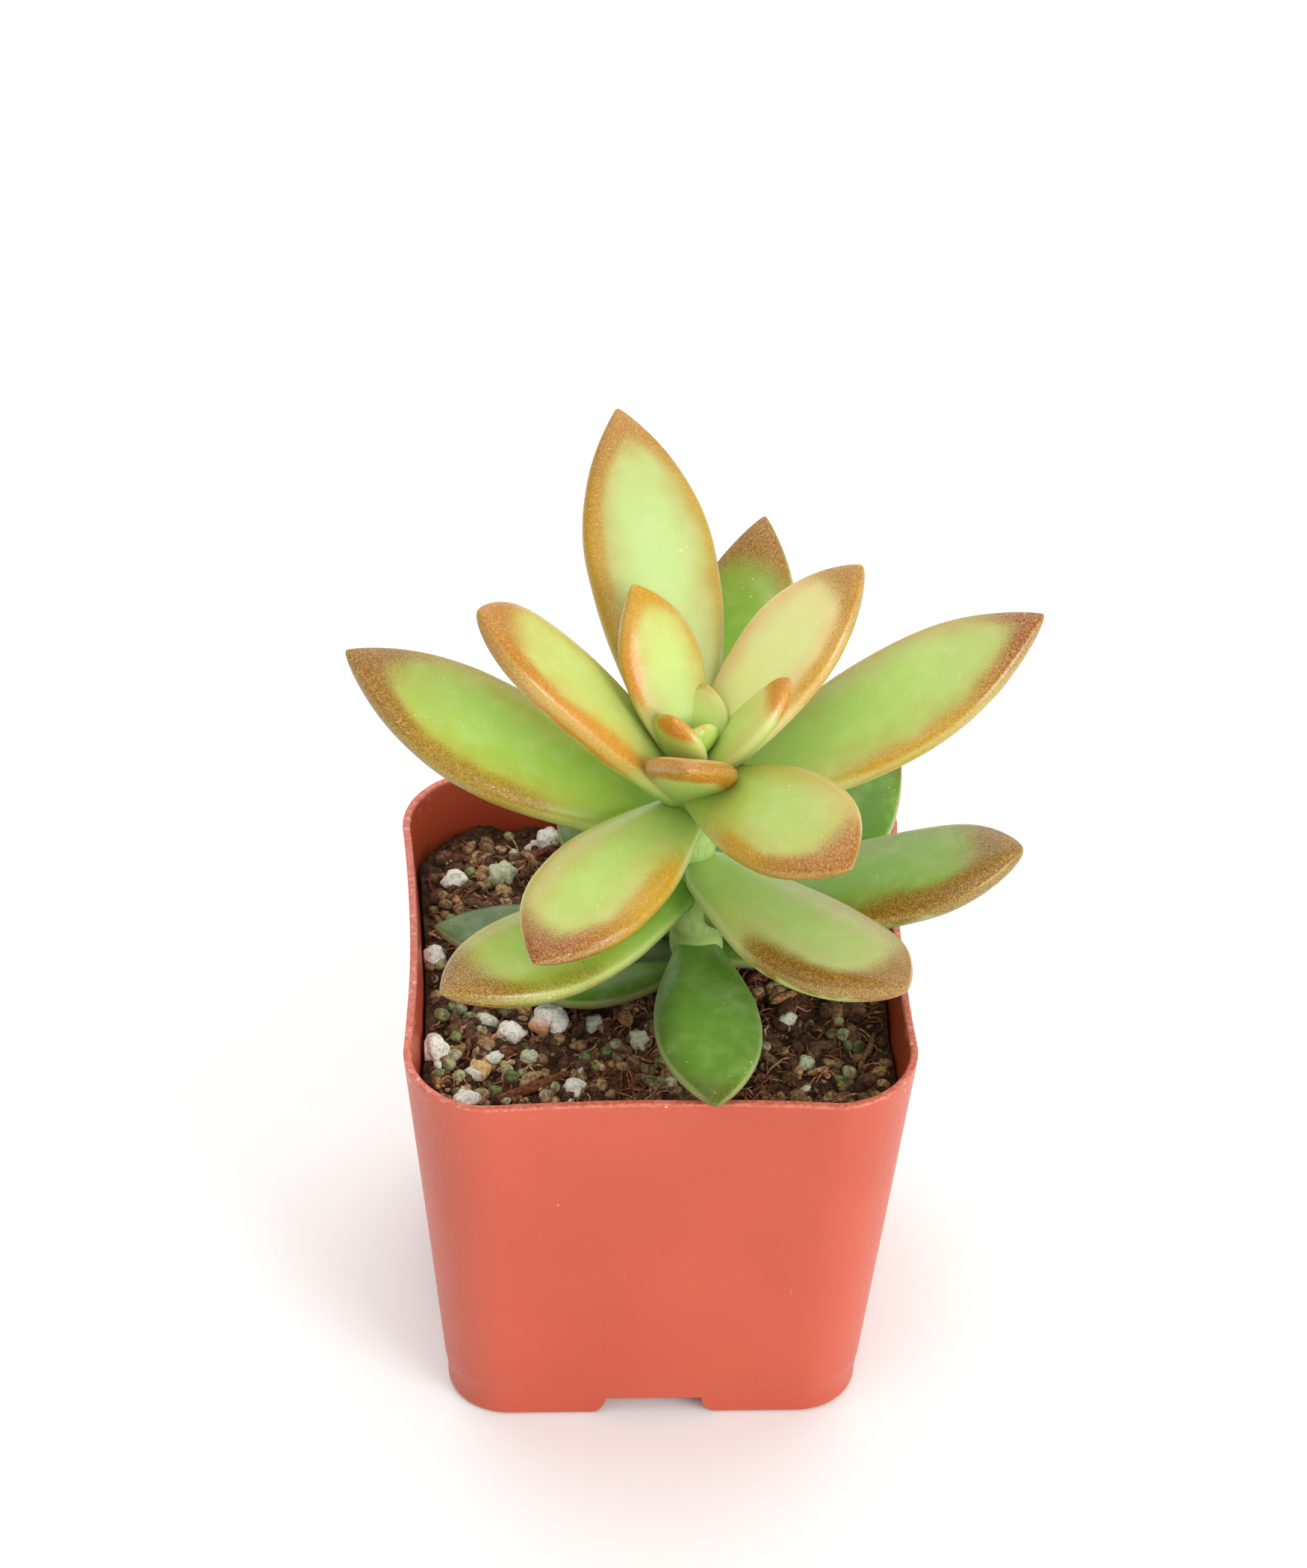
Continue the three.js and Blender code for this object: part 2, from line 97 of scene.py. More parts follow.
LEAVES = {
    "leaf_inner_back": (
        Leaf(77.5, 130, 70, -14, 23, 10.5, -2, 2.1),
        Look(PALE_LIME, YELLOW_LIME, LIME, STRAW, ORANGE, HONEY, (0.9, 1), (0.9, 0.5), 2.6, 0.3, 0.88)),
    "leaf_inner_right": (
        Leaf(76.5, 5, 58, -12, 17.5, 9, 3, 2.6),
        Look(LIME, YELLOW_LIME, LIME, PEACH, ORANGE, ORANGE, (0.8, 0.3), (0.2, 0.2), 2, 0.6, 0.83)),
    "leaf_inner_front": (
        Leaf(72, -97, 76, -44, 19, 10.3, 1, 2.4),
        Look(PEACH, PEACH, LIME, ROSE, AMBER, AMBER, (0.8, 1), (0.8, 0.8), 1.4, 0.35, 0.93, 2.2)),
    "leaf_upper_back_right": (
        Leaf(75.5, 28, 58, -20, 31.5, 13, 0, 2.3, 0.08),
        Look(CREAM, CREAM, LIME, PEACH, HONEY, BRONZE, (1, 0.25), (1, 0.8), 2.8, 0.3, 0.89)),
    "leaf_upper_front_right": (
        Leaf(75, -55, 33, -33, 29.5, 14, -16, 2.9),
        Look(SPRING, SPRING, SPRING, STRAW, GOLD, RUST, (1, 0.3), (0.7, 1), 3.4, 0.3, 0.88)),
    "leaf_upper_left": (
        Leaf(73.5, 181, 54, -10, 36.5, 14, 0, 3.4, 0.1),
        Look(YELLOW_LIME, YELLOW_LIME, LIME, HONEY, ORANGE, AMBER, (0.8, 0.8), (0.7, 0.4), 3.2, 0.1, 0.89,
             1.5)),
    "leaf_upper_back": (
        Leaf(75.5, 104, 51, -20, 43.5, 15, -3, 2.1),
        Look(PALE_LIME, PALE_LIME, LIME, TAN, GOLD, BRONZE, (1, 1), (1, 0.6), 3.4, 0.2, 0.91)),
    "leaf_upper_front_left": (
        Leaf(72.5, -125, 13, -25, 32, 14.5, -3, 2.6),
        Look(LIME, LIME, LIME, STRAW, GOLD, CHESTNUT, (0.8, 1), (1, 0.2), 4.2, 0.2, 0.9)),
    "leaf_upper_right": (
        Leaf(71.5, 11, 26, 7, 45, 15, -10, 2.1),
        Look(MINT, LIME, LIME, TAN, GOLD, CHESTNUT, (1, 0.4), (0.8, 0.8), 3.2, 0.2, 0.93, 1)),
    "leaf_middle_left": (
        Leaf(69, 167, 17, 17, 44, 15, 13, 2.1),
        Look(FRESH, FRESH, GREEN, TAN, OLIVE, BROWN, (0.9, 1), (0.9, 0.5), 3.6, 0.2, 0.89)),
    "leaf_middle_back": (
        Leaf(67.5, 74, 34, 2, 38.5, 13.5, 9, 2.1),
        Look(FRESH, GREEN, GREEN, OLIVE, BROWN, BROWN, (0.8, 0.2), (0.8, 0.4), 3, 0.5, 0.86)),
    "leaf_middle_front_right": (
        Leaf(65, -54, 1, 20, 37.5, 14.5, 2, 2.6, 0.1),
        Look(MINT, MINT, LIME, ROSE, UMBER, BROWN, (0.7, 0.4), (0.5, 1), 4.6, 0.3, 0.9, 0.5)),
    "leaf_middle_front_left": (
        Leaf(62, -139, 1, 15, 38.5, 14, 0, 2.4),
        Look(GREEN, FRESH, DEEP, TAN, OLIVE_DARK, UMBER, (0.3, 0.6), (0.9, 0.2), 3.8, 0.3, 0.86, 0.8)),
    "leaf_lower_right": (
        Leaf(57.5, -10, 15, 12, 39, 14.5, -1, 3.2, 0.12),
        Look(GREEN, GREEN, DEEP, OLIVE, UMBER, UMBER, (0.6, 0.2), (0.4, 1), 5, 0.35, 0.87, 0.6)),
    # The leaves from here down sit low under the rosette, and their darker greens paint in part the shade
    # that falls on them
    "leaf_lower_back": (
        Leaf(56.5, 98, 10, 6, 33, 13.5, 0, 2.3),
        Look(DEEP, DEEP, DARK, OLIVE, OLIVE_DARK, OLIVE_DARK, (0.3, 0.2), (0.3, 0.2), 2, 0.4, 0.95)),
    "leaf_lower_back_right": (
        Leaf(53.5, 41, 8, 11, 33, 14, -10, 2.1),
        Look(DARK, DEEP, DARK, DEEP, BOTTLE, OLIVE_DARK, (0.2, 0.1), (0.4, 0.1), 2, 0.4, 0.97)),
    "leaf_lower_front": (
        Leaf(52.5, -88, 12, -12, 30.8, 12, 1, 2.4),
        Look(GRASS, GRASS, DEEP, BOTTLE, BOTTLE, BOTTLE, (0.5, 0.2), (0.7, 0.3), 2.6, 0.3, 0.94)),
    "leaf_lower_back_left": (
        Leaf(52.5, 128, 4, 4, 25, 8.5, 0, 2.3),
        Look(DARK, DARK, DARK, BOTTLE, BOTTLE, OLIVE_DARK, (0.3, 0.1), (0.3, 0.1), 2, 0.4, 0.95)),
    "leaf_base_left": (
        Leaf(50.5, 172, 0, 2, 30, 10.5, 0, 2.4),
        Look(SHADED_GREY_GREEN, SHADED_GREY_GREEN, DARK, DARK, BOTTLE, BOTTLE, (0.3, 0), (0.3, 0), 1.5, 0.5, 0.97)),
    "leaf_base_front_left": (
        Leaf(50, -162, 0, 2, 20, 9, 0, 2.4),
        Look(DEEP, DEEP, DARK, BOTTLE, BOTTLE, BOTTLE, (0.3, 0), (0.3, 0), 2, 0.5, 0.97)),
    "leaf_base_right": (
        Leaf(50.5, 5, 7, 6, 22, 9.5, 0, 2.3),
        Look(DEEP, DEEP, DARK, BOTTLE, BOTTLE, BOTTLE, (0.2, 0), (0.2, 0), 2, 0.5, 0.97)),
    "leaf_base_back": (
        Leaf(50.5, 66, 3, 5, 25, 10.5, 0, 2.3),
        Look(DARK, DARK, DARK, BOTTLE, BOTTLE, BOTTLE, (0.2, 0), (0.2, 0), 2, 0.5, 0.97)),
}
CENTRE_LEAVES = [
    (Leaf(78.5, 66, 68, -8, 9.5, 6.4, 0, 2.4),
     Look(LIME, YELLOW_LIME, LIME, STRAW, STRAW, HONEY, (0.2, 0.1), (0.3, 0.2), 0.6, 0.7, 0.96)),
    (Leaf(77.5, 229, 69, 3, 11, 6.8, 0, 3),
     Look(LIME, LIME, LIME, STRAW, ORANGE, ORANGE, (0.3, 0.1), (0.3, 0.1), 0.6, 0.7, 0.84)),
    (Leaf(79.5, -58, 72, 3, 6.3, 5.2, 0, 2.4),
     Look(LIME, YELLOW_LIME, LIME, STRAW, STRAW, HONEY, (0.1, 0), (0.1, 0), 0.6, 0.5, 0.97)),
    (Leaf(80, 130, 85, 0, 3.6, 3, 0, 2.6),
     Look(PALE_LIME, PALE_LIME, PALE_LIME, LIME, LIME, LIME, (0, 0), (0, 0), 0.4, 0.5, 0.98)),
]


# Numbers and colours
def linear(colour):
    """A hex colour as linear red, green, blue and alpha."""
    shares = np.array([int(colour[i:i + 2], 16) / 255 for i in (0, 2, 4)])
    return np.append(np.where(shares <= 0.04045, shares / 12.92, ((shares + 0.055) / 1.055) ** 2.4), 1)


def fade(values, zero_at, one_at):
    """0 at and before one end, 1 at and past the other, and smooth between them."""
    t = np.clip((np.asarray(values, float) - zero_at) / (one_at - zero_at), 0, 1)
    return t * t * (3 - 2 * t)


def blend(a, b, weight):
    """Part of the way from one value to another."""
    return a + (b - a) * weight


SEED_STEP = Vector((7.3, 3.1, 5.7))


def ripple(points, size, seed):
    """Smooth noise between about -1 and 1 at each point, with features of about that size."""
    return np.array([noise.noise(Vector(p) / size + SEED_STEP * seed) for p in points])


# Meshes
def add_mesh(name, points, faces, material, layers=None):
    """A smooth mesh object, from points in millimetres. Layers are values or colours per point."""
    mesh = bpy.data.meshes.new(name)
    mesh.from_pydata((np.asarray(points) * MM).tolist(), [], faces)
    for label, values in (layers or {}).items():
        values = np.asarray(values, np.float32)
        coloured = values.ndim == 2
        layer = mesh.attributes.new(label, "FLOAT_COLOR" if coloured else "FLOAT", "POINT")
        layer.data.foreach_set("color" if coloured else "value", values.ravel())
    mesh.materials.append(material)
    mesh.shade_smooth()
    made = bpy.data.objects.new(name, mesh)
    bpy.context.scene.collection.objects.link(made)
    return made


def tube_faces(rings, sides):
    """Quads between rings of points, with a fan at each pole."""
    faces = []
    for i in range(sides):
        j = (i + 1) % sides
        for k in range(rings - 1):
            a, b = k * sides, (k + 1) * sides
            faces.append((a + i, a + j, b + j, b + i))
        foot, head, last = rings * sides, rings * sides + 1, (rings - 1) * sides
        faces.append((foot, j, i))
        faces.append((head, last + i, last + j))
    return faces


class Heap:
    """Many small pieces joined into one mesh, with values or colours for each point."""

    def __init__(self):
        self.points, self.faces, self.layers, self.count = [], [], [], 0

    def add(self, points, faces, layers):
        self.points.append(points)
        self.faces += [tuple(i + self.count for i in face) for face in faces]
        self.layers.append(layers)
        self.count += len(points)

    def add_tinted(self, points, faces, tint):
        self.add(points, faces, {"tint": np.broadcast_to(tint, (len(points), 4))})

    def build(self, name, material):
        labels = self.layers[0]
        joined = {label: np.concatenate([layers[label] for layers in self.layers]) for label in labels}
        return add_mesh(name, np.vstack(self.points), self.faces, material, joined)


def grid_faces(count):
    """Quads between the points of a square grid."""
    corners = [row * count + column for row in range(count - 1) for column in range(count - 1)]
    return [(a, a + 1, a + count + 1, a + count) for a in corners]


def stand_for(piece, slot, *nodes):
    """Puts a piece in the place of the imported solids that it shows."""
    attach(piece, "root")
    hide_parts(*nodes)


# Materials
MIX_FIRST = 6
MIX_SECOND = 7
MIX_RESULT = 2


class Paint:
    """One material, with short ways to add the nodes that colour it."""

    def __init__(self, name):
        self.material = bpy.data.materials.new(name)
        self.material.use_nodes = True
        self.tree = self.material.node_tree
        self.shader = self.tree.nodes["Principled BSDF"]
        self.place = self.node("TexCoord").outputs["Object"]

    def node(self, kind):
        return self.tree.nodes.new("ShaderNode" + kind)

    def put(self, socket, value):
        """Links a socket to another, or sets its number or hex colour."""
        if isinstance(value, bpy.types.NodeSocket):
            self.tree.links.new(value, socket)
        else:
            socket.default_value = linear(value) if isinstance(value, str) else value

    def feed(self, name, value):
        self.put(self.shader.inputs[name], value)

    def layer(self, name):
        """A layer of values or colours that the mesh carries."""
        found = self.node("Attribute")
        found.attribute_name = name
        return found

    def noise(self, size, detail=2.0, stretch=(1, 1, 1)):
        """Noise from 0 to 1, with features of about that many millimetres."""
        scale = self.node("Mapping")
        self.put(scale.inputs["Vector"], self.place)
        scale.inputs["Scale"].default_value = stretch
        made = self.node("TexNoise")
        self.put(made.inputs["Vector"], scale.outputs[0])
        made.inputs["Scale"].default_value = 1 / (size * MM)
        made.inputs["Detail"].default_value = detail
        return made.outputs[0]

    def math(self, operation, a, b=0.0):
        made = self.node("Math")
        made.operation = operation
        self.put(made.inputs[0], a)
        self.put(made.inputs[1], b)
        return made.outputs[0]

    def times(self, a, b):
        return self.math("MULTIPLY", a, b)

    def ramp(self, value, low, high, to_low=0.0, to_high=1.0):
        """A smooth rise from one number to another while the value goes from low to high."""
        made = self.node("MapRange")
        made.interpolation_type = "SMOOTHSTEP"
        for name, number in (("Value", value), ("From Min", low), ("From Max", high),
                             ("To Min", to_low), ("To Max", to_high)):
            self.put(made.inputs[name], number)
        return made.outputs[0]

    def mix(self, weight, a, b, how="MIX"):
        made = self.node("Mix")
        made.data_type = "RGBA"
        made.blend_type = how
        self.put(made.inputs[0], weight)
        self.put(made.inputs[MIX_FIRST], a)
        self.put(made.inputs[MIX_SECOND], b)
        return made.outputs[MIX_RESULT]

    def specks(self, size, radius, share):
        """1 inside small round specks, in about that share of cells of that size."""
        cells = self.node("TexVoronoi")
        self.put(cells.inputs["Vector"], self.place)
        cells.inputs["Scale"].default_value = 1 / (size * MM)
        split = self.node("SeparateColor")
        self.put(split.inputs[0], cells.outputs["Color"])
        inside = self.math("LESS_THAN", cells.outputs["Distance"], radius)
        return self.times(inside, self.math("LESS_THAN", split.outputs[0], share))

    def glow(self, weight, radius, scale):
        """Light that sinks into the skin and comes out close by, scaled in millimetres."""
        self.feed("Subsurface Weight", weight)
        self.feed("Subsurface Radius", radius)
        self.feed("Subsurface Scale", scale * MM)

    def bump(self, height, depth, strength=1.0):
        made = self.node("Bump")
        made.inputs["Strength"].default_value = strength
        made.inputs["Distance"].default_value = depth * MM
        self.put(made.inputs["Height"], height)
        self.feed("Normal", made.outputs[0])


# Colours that the materials add
LEAF_DOTS = "dcac38"
LEAF_WAX = "dce4a8"
LEAF_DUST = "f0e8bc"
LEAF_SPECKS = "3a3418"
STEM_GREEN = "9dbb62"
STEM_COLLAR = "c2d68c"
STEM_SHADE = "8fae5c"
POT_DARK = "b94a2f"
POT_LIGHT = "c35137"
POT_SCUFFS = "ecd0c4"
POT_SCRATCHES = "eca48e"
POT_DUST = "f2c4b0"
POT_BURR = "e09482"
SOIL_SHADE = "a89888"
PERLITE_SHADE = "d6d4c6"

# Where the pot is worn, in millimetres: scuffed from a height up to the lip, most of all at its left
# and right sides, with a pale burr on the lip
SCUFFS_FROM = 49
LIP_FROM = 52.9
LIP_TOP = 53.2
SIDES_FROM = 24
SIDES_TO = 28


def leaf_skin(name, dots, gloss):
    """Waxy skin whose pigment breaks up into fine bright dots, with dust and a few dark specks."""
    paint = Paint(name)
    fine = paint.noise(0.2, detail=1)
    maze = paint.noise(0.26, detail=1)
    blush = paint.layer("blush").outputs["Fac"]
    lines = paint.ramp(paint.math("ABSOLUTE", paint.math("SUBTRACT", maze, 0.5)), 0.08, 0.01)
    pigment = paint.layer("pigment").outputs["Color"]
    lit = paint.mix(paint.times(lines, dots), pigment, LEAF_DOTS)
    weight = paint.ramp(paint.math("ADD", blush, paint.times(fine, 0.5)), 0.42, 1.12)
    wax = paint.ramp(paint.noise(2.2, detail=3), 0.42, 0.72, to_high=0.1)
    face = paint.mix(wax, paint.layer("skin").outputs["Color"], LEAF_WAX)
    colour = paint.mix(weight, face, lit)
    dust = paint.times(paint.ramp(paint.noise(0.4, detail=3), 0.66, 0.74),
                       paint.ramp(paint.noise(5, detail=1), 0.5, 0.62))
    colour = paint.mix(paint.times(dust, 0.6), colour, LEAF_DUST)
    colour = paint.mix(paint.specks(size=3, radius=0.035, share=0.1), colour, LEAF_SPECKS)
    paint.feed("Base Color", colour)
    paint.glow(0.12, (0.9, 1, 0.4), 1)
    paint.feed("Roughness", paint.ramp(paint.noise(0.5), 0.3, 0.7, to_low=0.3, to_high=0.42))
    paint.feed("Specular IOR Level", gloss)
    paint.feed("Coat Weight", 0.3 * gloss)
    paint.feed("Coat Roughness", 0.15)
    paint.bump(paint.math("ADD", fine, paint.noise(0.6)), depth=0.02, strength=0.6)
    return paint.material


def stem_skin():
    """Pale green stem skin with faint lengthwise fibres."""
    paint = Paint("Stem skin")
    cloud = paint.noise(2.4, detail=3)
    fibre = paint.noise(0.3, stretch=(1, 1, 0.12))
    skin = paint.layer("skin").outputs["Color"]
    shaded = paint.mix(paint.ramp(cloud, 0.3, 0.7), skin, STEM_SHADE, "MULTIPLY")
    paint.feed("Base Color", paint.mix(paint.ramp(fibre, 0.4, 0.7, to_high=0.4), skin, shaded))
    paint.feed("Roughness", paint.ramp(fibre, 0.3, 0.7, to_low=0.38, to_high=0.55))
    paint.glow(0.15, (0.9, 1, 0.35), 1.2)
    paint.bump(fibre, depth=0.04, strength=0.6)
    return paint.material


def pot_plastic():
    """Satin moulded plastic, scuffed pale near the rim, with a few fine scratches and dust."""
    paint = Paint("Pot plastic")
    axes = paint.node("SeparateXYZ")
    paint.put(axes.inputs[0], paint.place)
    sideways, height = axes.outputs[0], axes.outputs[2]
    grain = paint.noise(0.5, detail=3)
    tone = paint.ramp(paint.noise(30), 0.3, 0.7)
    colour = paint.mix(tone, POT_DARK, POT_LIGHT)
    near_rim = paint.ramp(height, SCUFFS_FROM * MM, LIP_TOP * MM)
    near_side = paint.ramp(paint.math("ABSOLUTE", sideways), SIDES_FROM * MM, SIDES_TO * MM,
                           to_low=0.05, to_high=0.8)
    scuffs = paint.ramp(paint.noise(0.9, detail=4), 0.58, 0.7)
    wear = paint.times(scuffs, paint.times(near_rim, near_side))
    colour = paint.mix(paint.times(wear, 0.7), colour, POT_SCUFFS)
    scratches = paint.ramp(paint.noise(0.7, stretch=(1, 1, 0.06)), 0.75, 0.82, to_high=0.35)
    colour = paint.mix(scratches, colour, POT_SCRATCHES)
    colour = paint.mix(paint.specks(size=4, radius=0.035, share=0.25), colour, POT_DUST)
    lip = paint.ramp(height, LIP_FROM * MM, LIP_TOP * MM)
    burr = paint.times(lip, paint.ramp(grain, 0.4, 0.6, to_low=0.1, to_high=0.45))
    paint.feed("Base Color", paint.mix(burr, colour, POT_BURR))
    paint.feed("Roughness", paint.ramp(grain, 0.3, 0.7, to_low=0.34, to_high=0.44))
    paint.bump(grain, depth=0.015, strength=0.5)
    return paint.material


def soil_material(name, roughness, grain_size, depth):
    """Rough matter in the tint of each grain, mottled darker and lighter."""
    paint = Paint(name)
    mottle = paint.noise(grain_size, detail=4)
    tint = paint.layer("tint").outputs["Color"]
    darker = paint.mix(1.0, tint, SOIL_SHADE, "MULTIPLY")
    paint.feed("Base Color", paint.mix(paint.ramp(mottle, 0.35, 0.65), darker, tint))
    paint.feed("Roughness", roughness)
    paint.feed("Specular IOR Level", 0.3)
    paint.bump(mottle, depth)
    return paint.material


def perlite_material():
    """Chalky white grains, pitted, greenish or rust-stained in places by their tint."""
    paint = Paint("Perlite")
    pits = paint.noise(0.35, detail=4)
    tint = paint.layer("tint").outputs["Color"]
    shaded = paint.mix(1.0, tint, PERLITE_SHADE, "MULTIPLY")
    paint.feed("Base Color", paint.mix(paint.ramp(pits, 0.36, 0.5), shaded, tint))
    paint.feed("Roughness", 0.8)
    paint.bump(pits, depth=0.12)
    return paint.material


# Leaves
# Proportions that all leaves share. Places along a leaf are shares of its length, and the powers
# shape its outline, its end and its section.
WIDEST = 0.58
ROOT_WIDTH = 0.34
SWELL_POWER = 1.2
STALK_END = 0.09
STALK_WIDTH = 0.55
THICKNESS_TO_WIDTH = 0.38
THICKEST = 0.45
ROOT_THICKNESS = 0.62
MOST_THICKNESS = 1.7
END_POWER = 2.6
ABOVE_MARGIN = 0.38
SECTION_POWER = 0.84
CHANNEL = 0.16
TIP_TRIM = 0.12
TIP_CROWDING = 1.6
LEAF_RINGS = 96
LEAF_SIDES = 64
CENTRE_LEAF_RINGS = 40
CENTRE_LEAF_SIDES = 32

# How uneven the faces and the outline are, and the size in millimetres of what swells there
FACE_SWELL = 0.1
FACE_SWELL_SIZE = 7
OUTLINE_SWELL = 0.025
OUTLINE_SWELL_SIZE = 9
OUTLINE_SEED = 50

# Strengths of the veil and of the painted highlight along the margins, and the size of the bays in veil
# and band
VEIL_STRENGTH = 0.75
RIM_HIGHLIGHT_STRENGTH = 0.3
CLOUD_SIZE = 2.6


def stem_x(z):
    """How far right the middle of the stem is at a height."""
    return np.interp(z, [SOIL["level"], STEM["top"]], [STEM["foot_x"], STEM["top_x"]])


def width_share(u, point, blunt):
    """Width at each place along a leaf, as a share of its greatest width."""
    rising = ROOT_WIDTH + (1 - ROOT_WIDTH) * np.sin(np.pi / 2 * np.minimum(u / WIDEST, 1) ** SWELL_POWER)
    closing = 1 - np.clip((u - WIDEST) / (1 - WIDEST), 0, 1) ** point
    stalk = STALK_WIDTH + (1 - STALK_WIDTH) * fade(u, 0, STALK_END)
    share = np.where(u < WIDEST, rising, closing) * stalk
    return np.sqrt(share * (share + 2 * blunt) / (1 + 2 * blunt))


def thickness_share(u):
    """Thickness at each place along a leaf, as a share of its greatest thickness."""
    rising = ROOT_THICKNESS + (1 - ROOT_THICKNESS) * np.sin(np.pi / 2 * np.minimum(u / THICKEST, 1))
    closing = np.sqrt(1 - np.clip((u - THICKEST) / (1 - THICKEST), 0, 1) ** END_POWER)
    return np.where(u < THICKEST, rising, closing)


def soft_minimum(a, b):
    """The lesser of two lengths, with a smooth change from one to the other."""
    return (a ** -4 + b ** -4) ** -0.25


def leaf_section(leaf, u, around, half, seed):
    """How far each point is across and above a straight leaf, and its share of the half width."""
    cosine, sine = np.cos(around), np.sin(around)
    share = np.sign(cosine) * np.abs(cosine) ** SECTION_POWER
    thick = soft_minimum(leaf.width * THICKNESS_TO_WIDTH * thickness_share(u), MOST_THICKNESS * half)
    channel = 1 - CHANNEL * (1 - share ** 2) ** 2 * fade(u, 0, 0.2) * fade(u, 1, 0.8)
    above = thick * ABOVE_MARGIN * np.abs(sine) ** SECTION_POWER * channel
    below = -thick * (1 - ABOVE_MARGIN) * np.abs(sine)
    height = np.where(sine > 0, above, below)
    across = half * share
    flat = np.stack([u * (leaf.length - TIP_TRIM), across, height], 1)
    swell = FACE_SWELL * ripple(flat, FACE_SWELL_SIZE, seed) * fade(u, 0, 0.3) * fade(u, 1, 0.9)
    wave = OUTLINE_SWELL * ripple(flat * (1, 0.2, 0.2), OUTLINE_SWELL_SIZE, seed + OUTLINE_SEED)
    return across * (1 + wave), height + swell, share


def bent_leaf(leaf, u, across, height):
    """A straight leaf's points bent onto its arc, with its root on the stem's axis."""
    bend = np.radians(leaf.bend) * u
    angle = np.radians(leaf.rise) + bend
    chord = (leaf.length - TIP_TRIM) * u * np.sinc(bend / 2 / np.pi)
    twist = np.radians(leaf.twist)
    side = across * np.cos(twist) + height * np.sin(twist)
    normal = height * np.cos(twist) - across * np.sin(twist)
    out = chord * np.cos(angle - bend / 2) - normal * np.sin(angle)
    up = chord * np.sin(angle - bend / 2) + normal * np.cos(angle)
    turn = np.radians(leaf.azimuth)
    x = out * np.cos(turn) - side * np.sin(turn) + stem_x(leaf.height)
    y = out * np.sin(turn) + side * np.cos(turn)
    return np.stack([x, y, up + leaf.height], 1)


def leaf_grid(leaf, rings, sides, seed):
    """Points of the skin, ring by ring and then root and tip, with their places on the leaf."""
    u = 1 - (1 - np.arange(1, rings + 1) / (rings + 1)) ** TIP_CROWDING
    u = np.repeat(u, sides)
    around = np.tile(2 * np.pi * np.arange(sides) / sides, rings)
    half = leaf.width / 2 * width_share(u, leaf.point, leaf.blunt)
    across, height, share = leaf_section(leaf, u, around, half, seed)
    places = dict(u=np.append(u, [0, 1]), share=np.append(share, [0, 0]),
                  inset=np.append((1 - np.abs(share)) * half, [leaf.width, 0]),
                  under=np.append(np.sin(around) < 0, [False, False]))
    points = bent_leaf(leaf, places["u"], np.append(across, [0, 0]), np.append(height, [0, 0]))
    return points, places


def faded(start, end, weight):
    """One hex colour faded into another, point by point."""
    return blend(linear(start), linear(end), weight[:, None])


def leaf_layers(look, points, seed, u, share, inset, under):
    """The skin and pigment colours of each point, with a painted highlight along the margins, and how
    strongly it is blushed.
    """
    cloud = ripple(points, CLOUD_SIZE, seed)
    leftness = (share + 1) / 2
    veil = blend(look.right[0], look.left[0], leftness)
    band = blend(look.right[1], look.left[1], leftness)
    tip = fade(u + 0.02 * cloud, look.tip_from - 0.14, look.tip_from + 0.1)
    near_tip = fade(u, look.tip_from - 0.3, look.tip_from + 0.1)
    reach = np.where(under, look.wrap, look.reach)
    veiled = fade(inset + 0.9 * cloud, 1.7 * reach, 0.2 * reach) * fade(u, 0.12, 0.5) * veil
    veiled = np.maximum(veiled, near_tip * np.where(under, 0.3, 0.7)) * VEIL_STRENGTH
    skin = faded(look.face, look.end, fade(u, 0.2, 0.8))
    skin = np.where(under[:, None], linear(look.below), skin)
    skin = blend(skin, linear(look.veil), veiled[:, None])
    # The margins are painted with a pale highlight, and the blush gives way under it
    rim = fade(inset, 0.35, 0.05) * fade(u, 0.05, 0.2) * RIM_HIGHLIGHT_STRENGTH
    skin = blend(skin, linear(RIM_HIGHLIGHT), rim[:, None])
    lengthwise = fade(u + 0.03 * cloud, look.start, look.start + 0.3)
    banded = fade(inset + 0.5 * cloud, reach, 0.15 * reach) * lengthwise * band
    blush = (1 - (1 - banded) * (1 - tip)) * (1 - rim)
    pigment = faded(look.band, look.tip, fade(u, 0.6, 0.95))
    return {"skin": skin, "pigment": pigment, "blush": blush}


def make_leaf(name, seed, material):
    leaf, look = LEAVES[name]
    points, places = leaf_grid(leaf, LEAF_RINGS, LEAF_SIDES, seed)
    layers = leaf_layers(look, points, seed, **places)
    faces = tube_faces(LEAF_RINGS, LEAF_SIDES)
    return add_mesh(name.replace("leaf_", "") + "_leaf", points, faces, material, layers)


# Stem and crown
STEM_PROFILE_Z = [38.5, 43.5, 50.5, 63.5, 75.5, 79.5]
STEM_PROFILE_RADIUS = [2.3, 2.9, 2.9, 2.4, 2.1, 1.5]
STEM_RINGS = 90
STEM_SIDES = 40
COLLAR_REACH = 0.9
COLLAR_HEIGHT = 0.18
STEM_SWELL = 0.05
STEM_SWELL_SIZE = 2.5
STEM_SEED = 90
CENTRE_SEED = 70


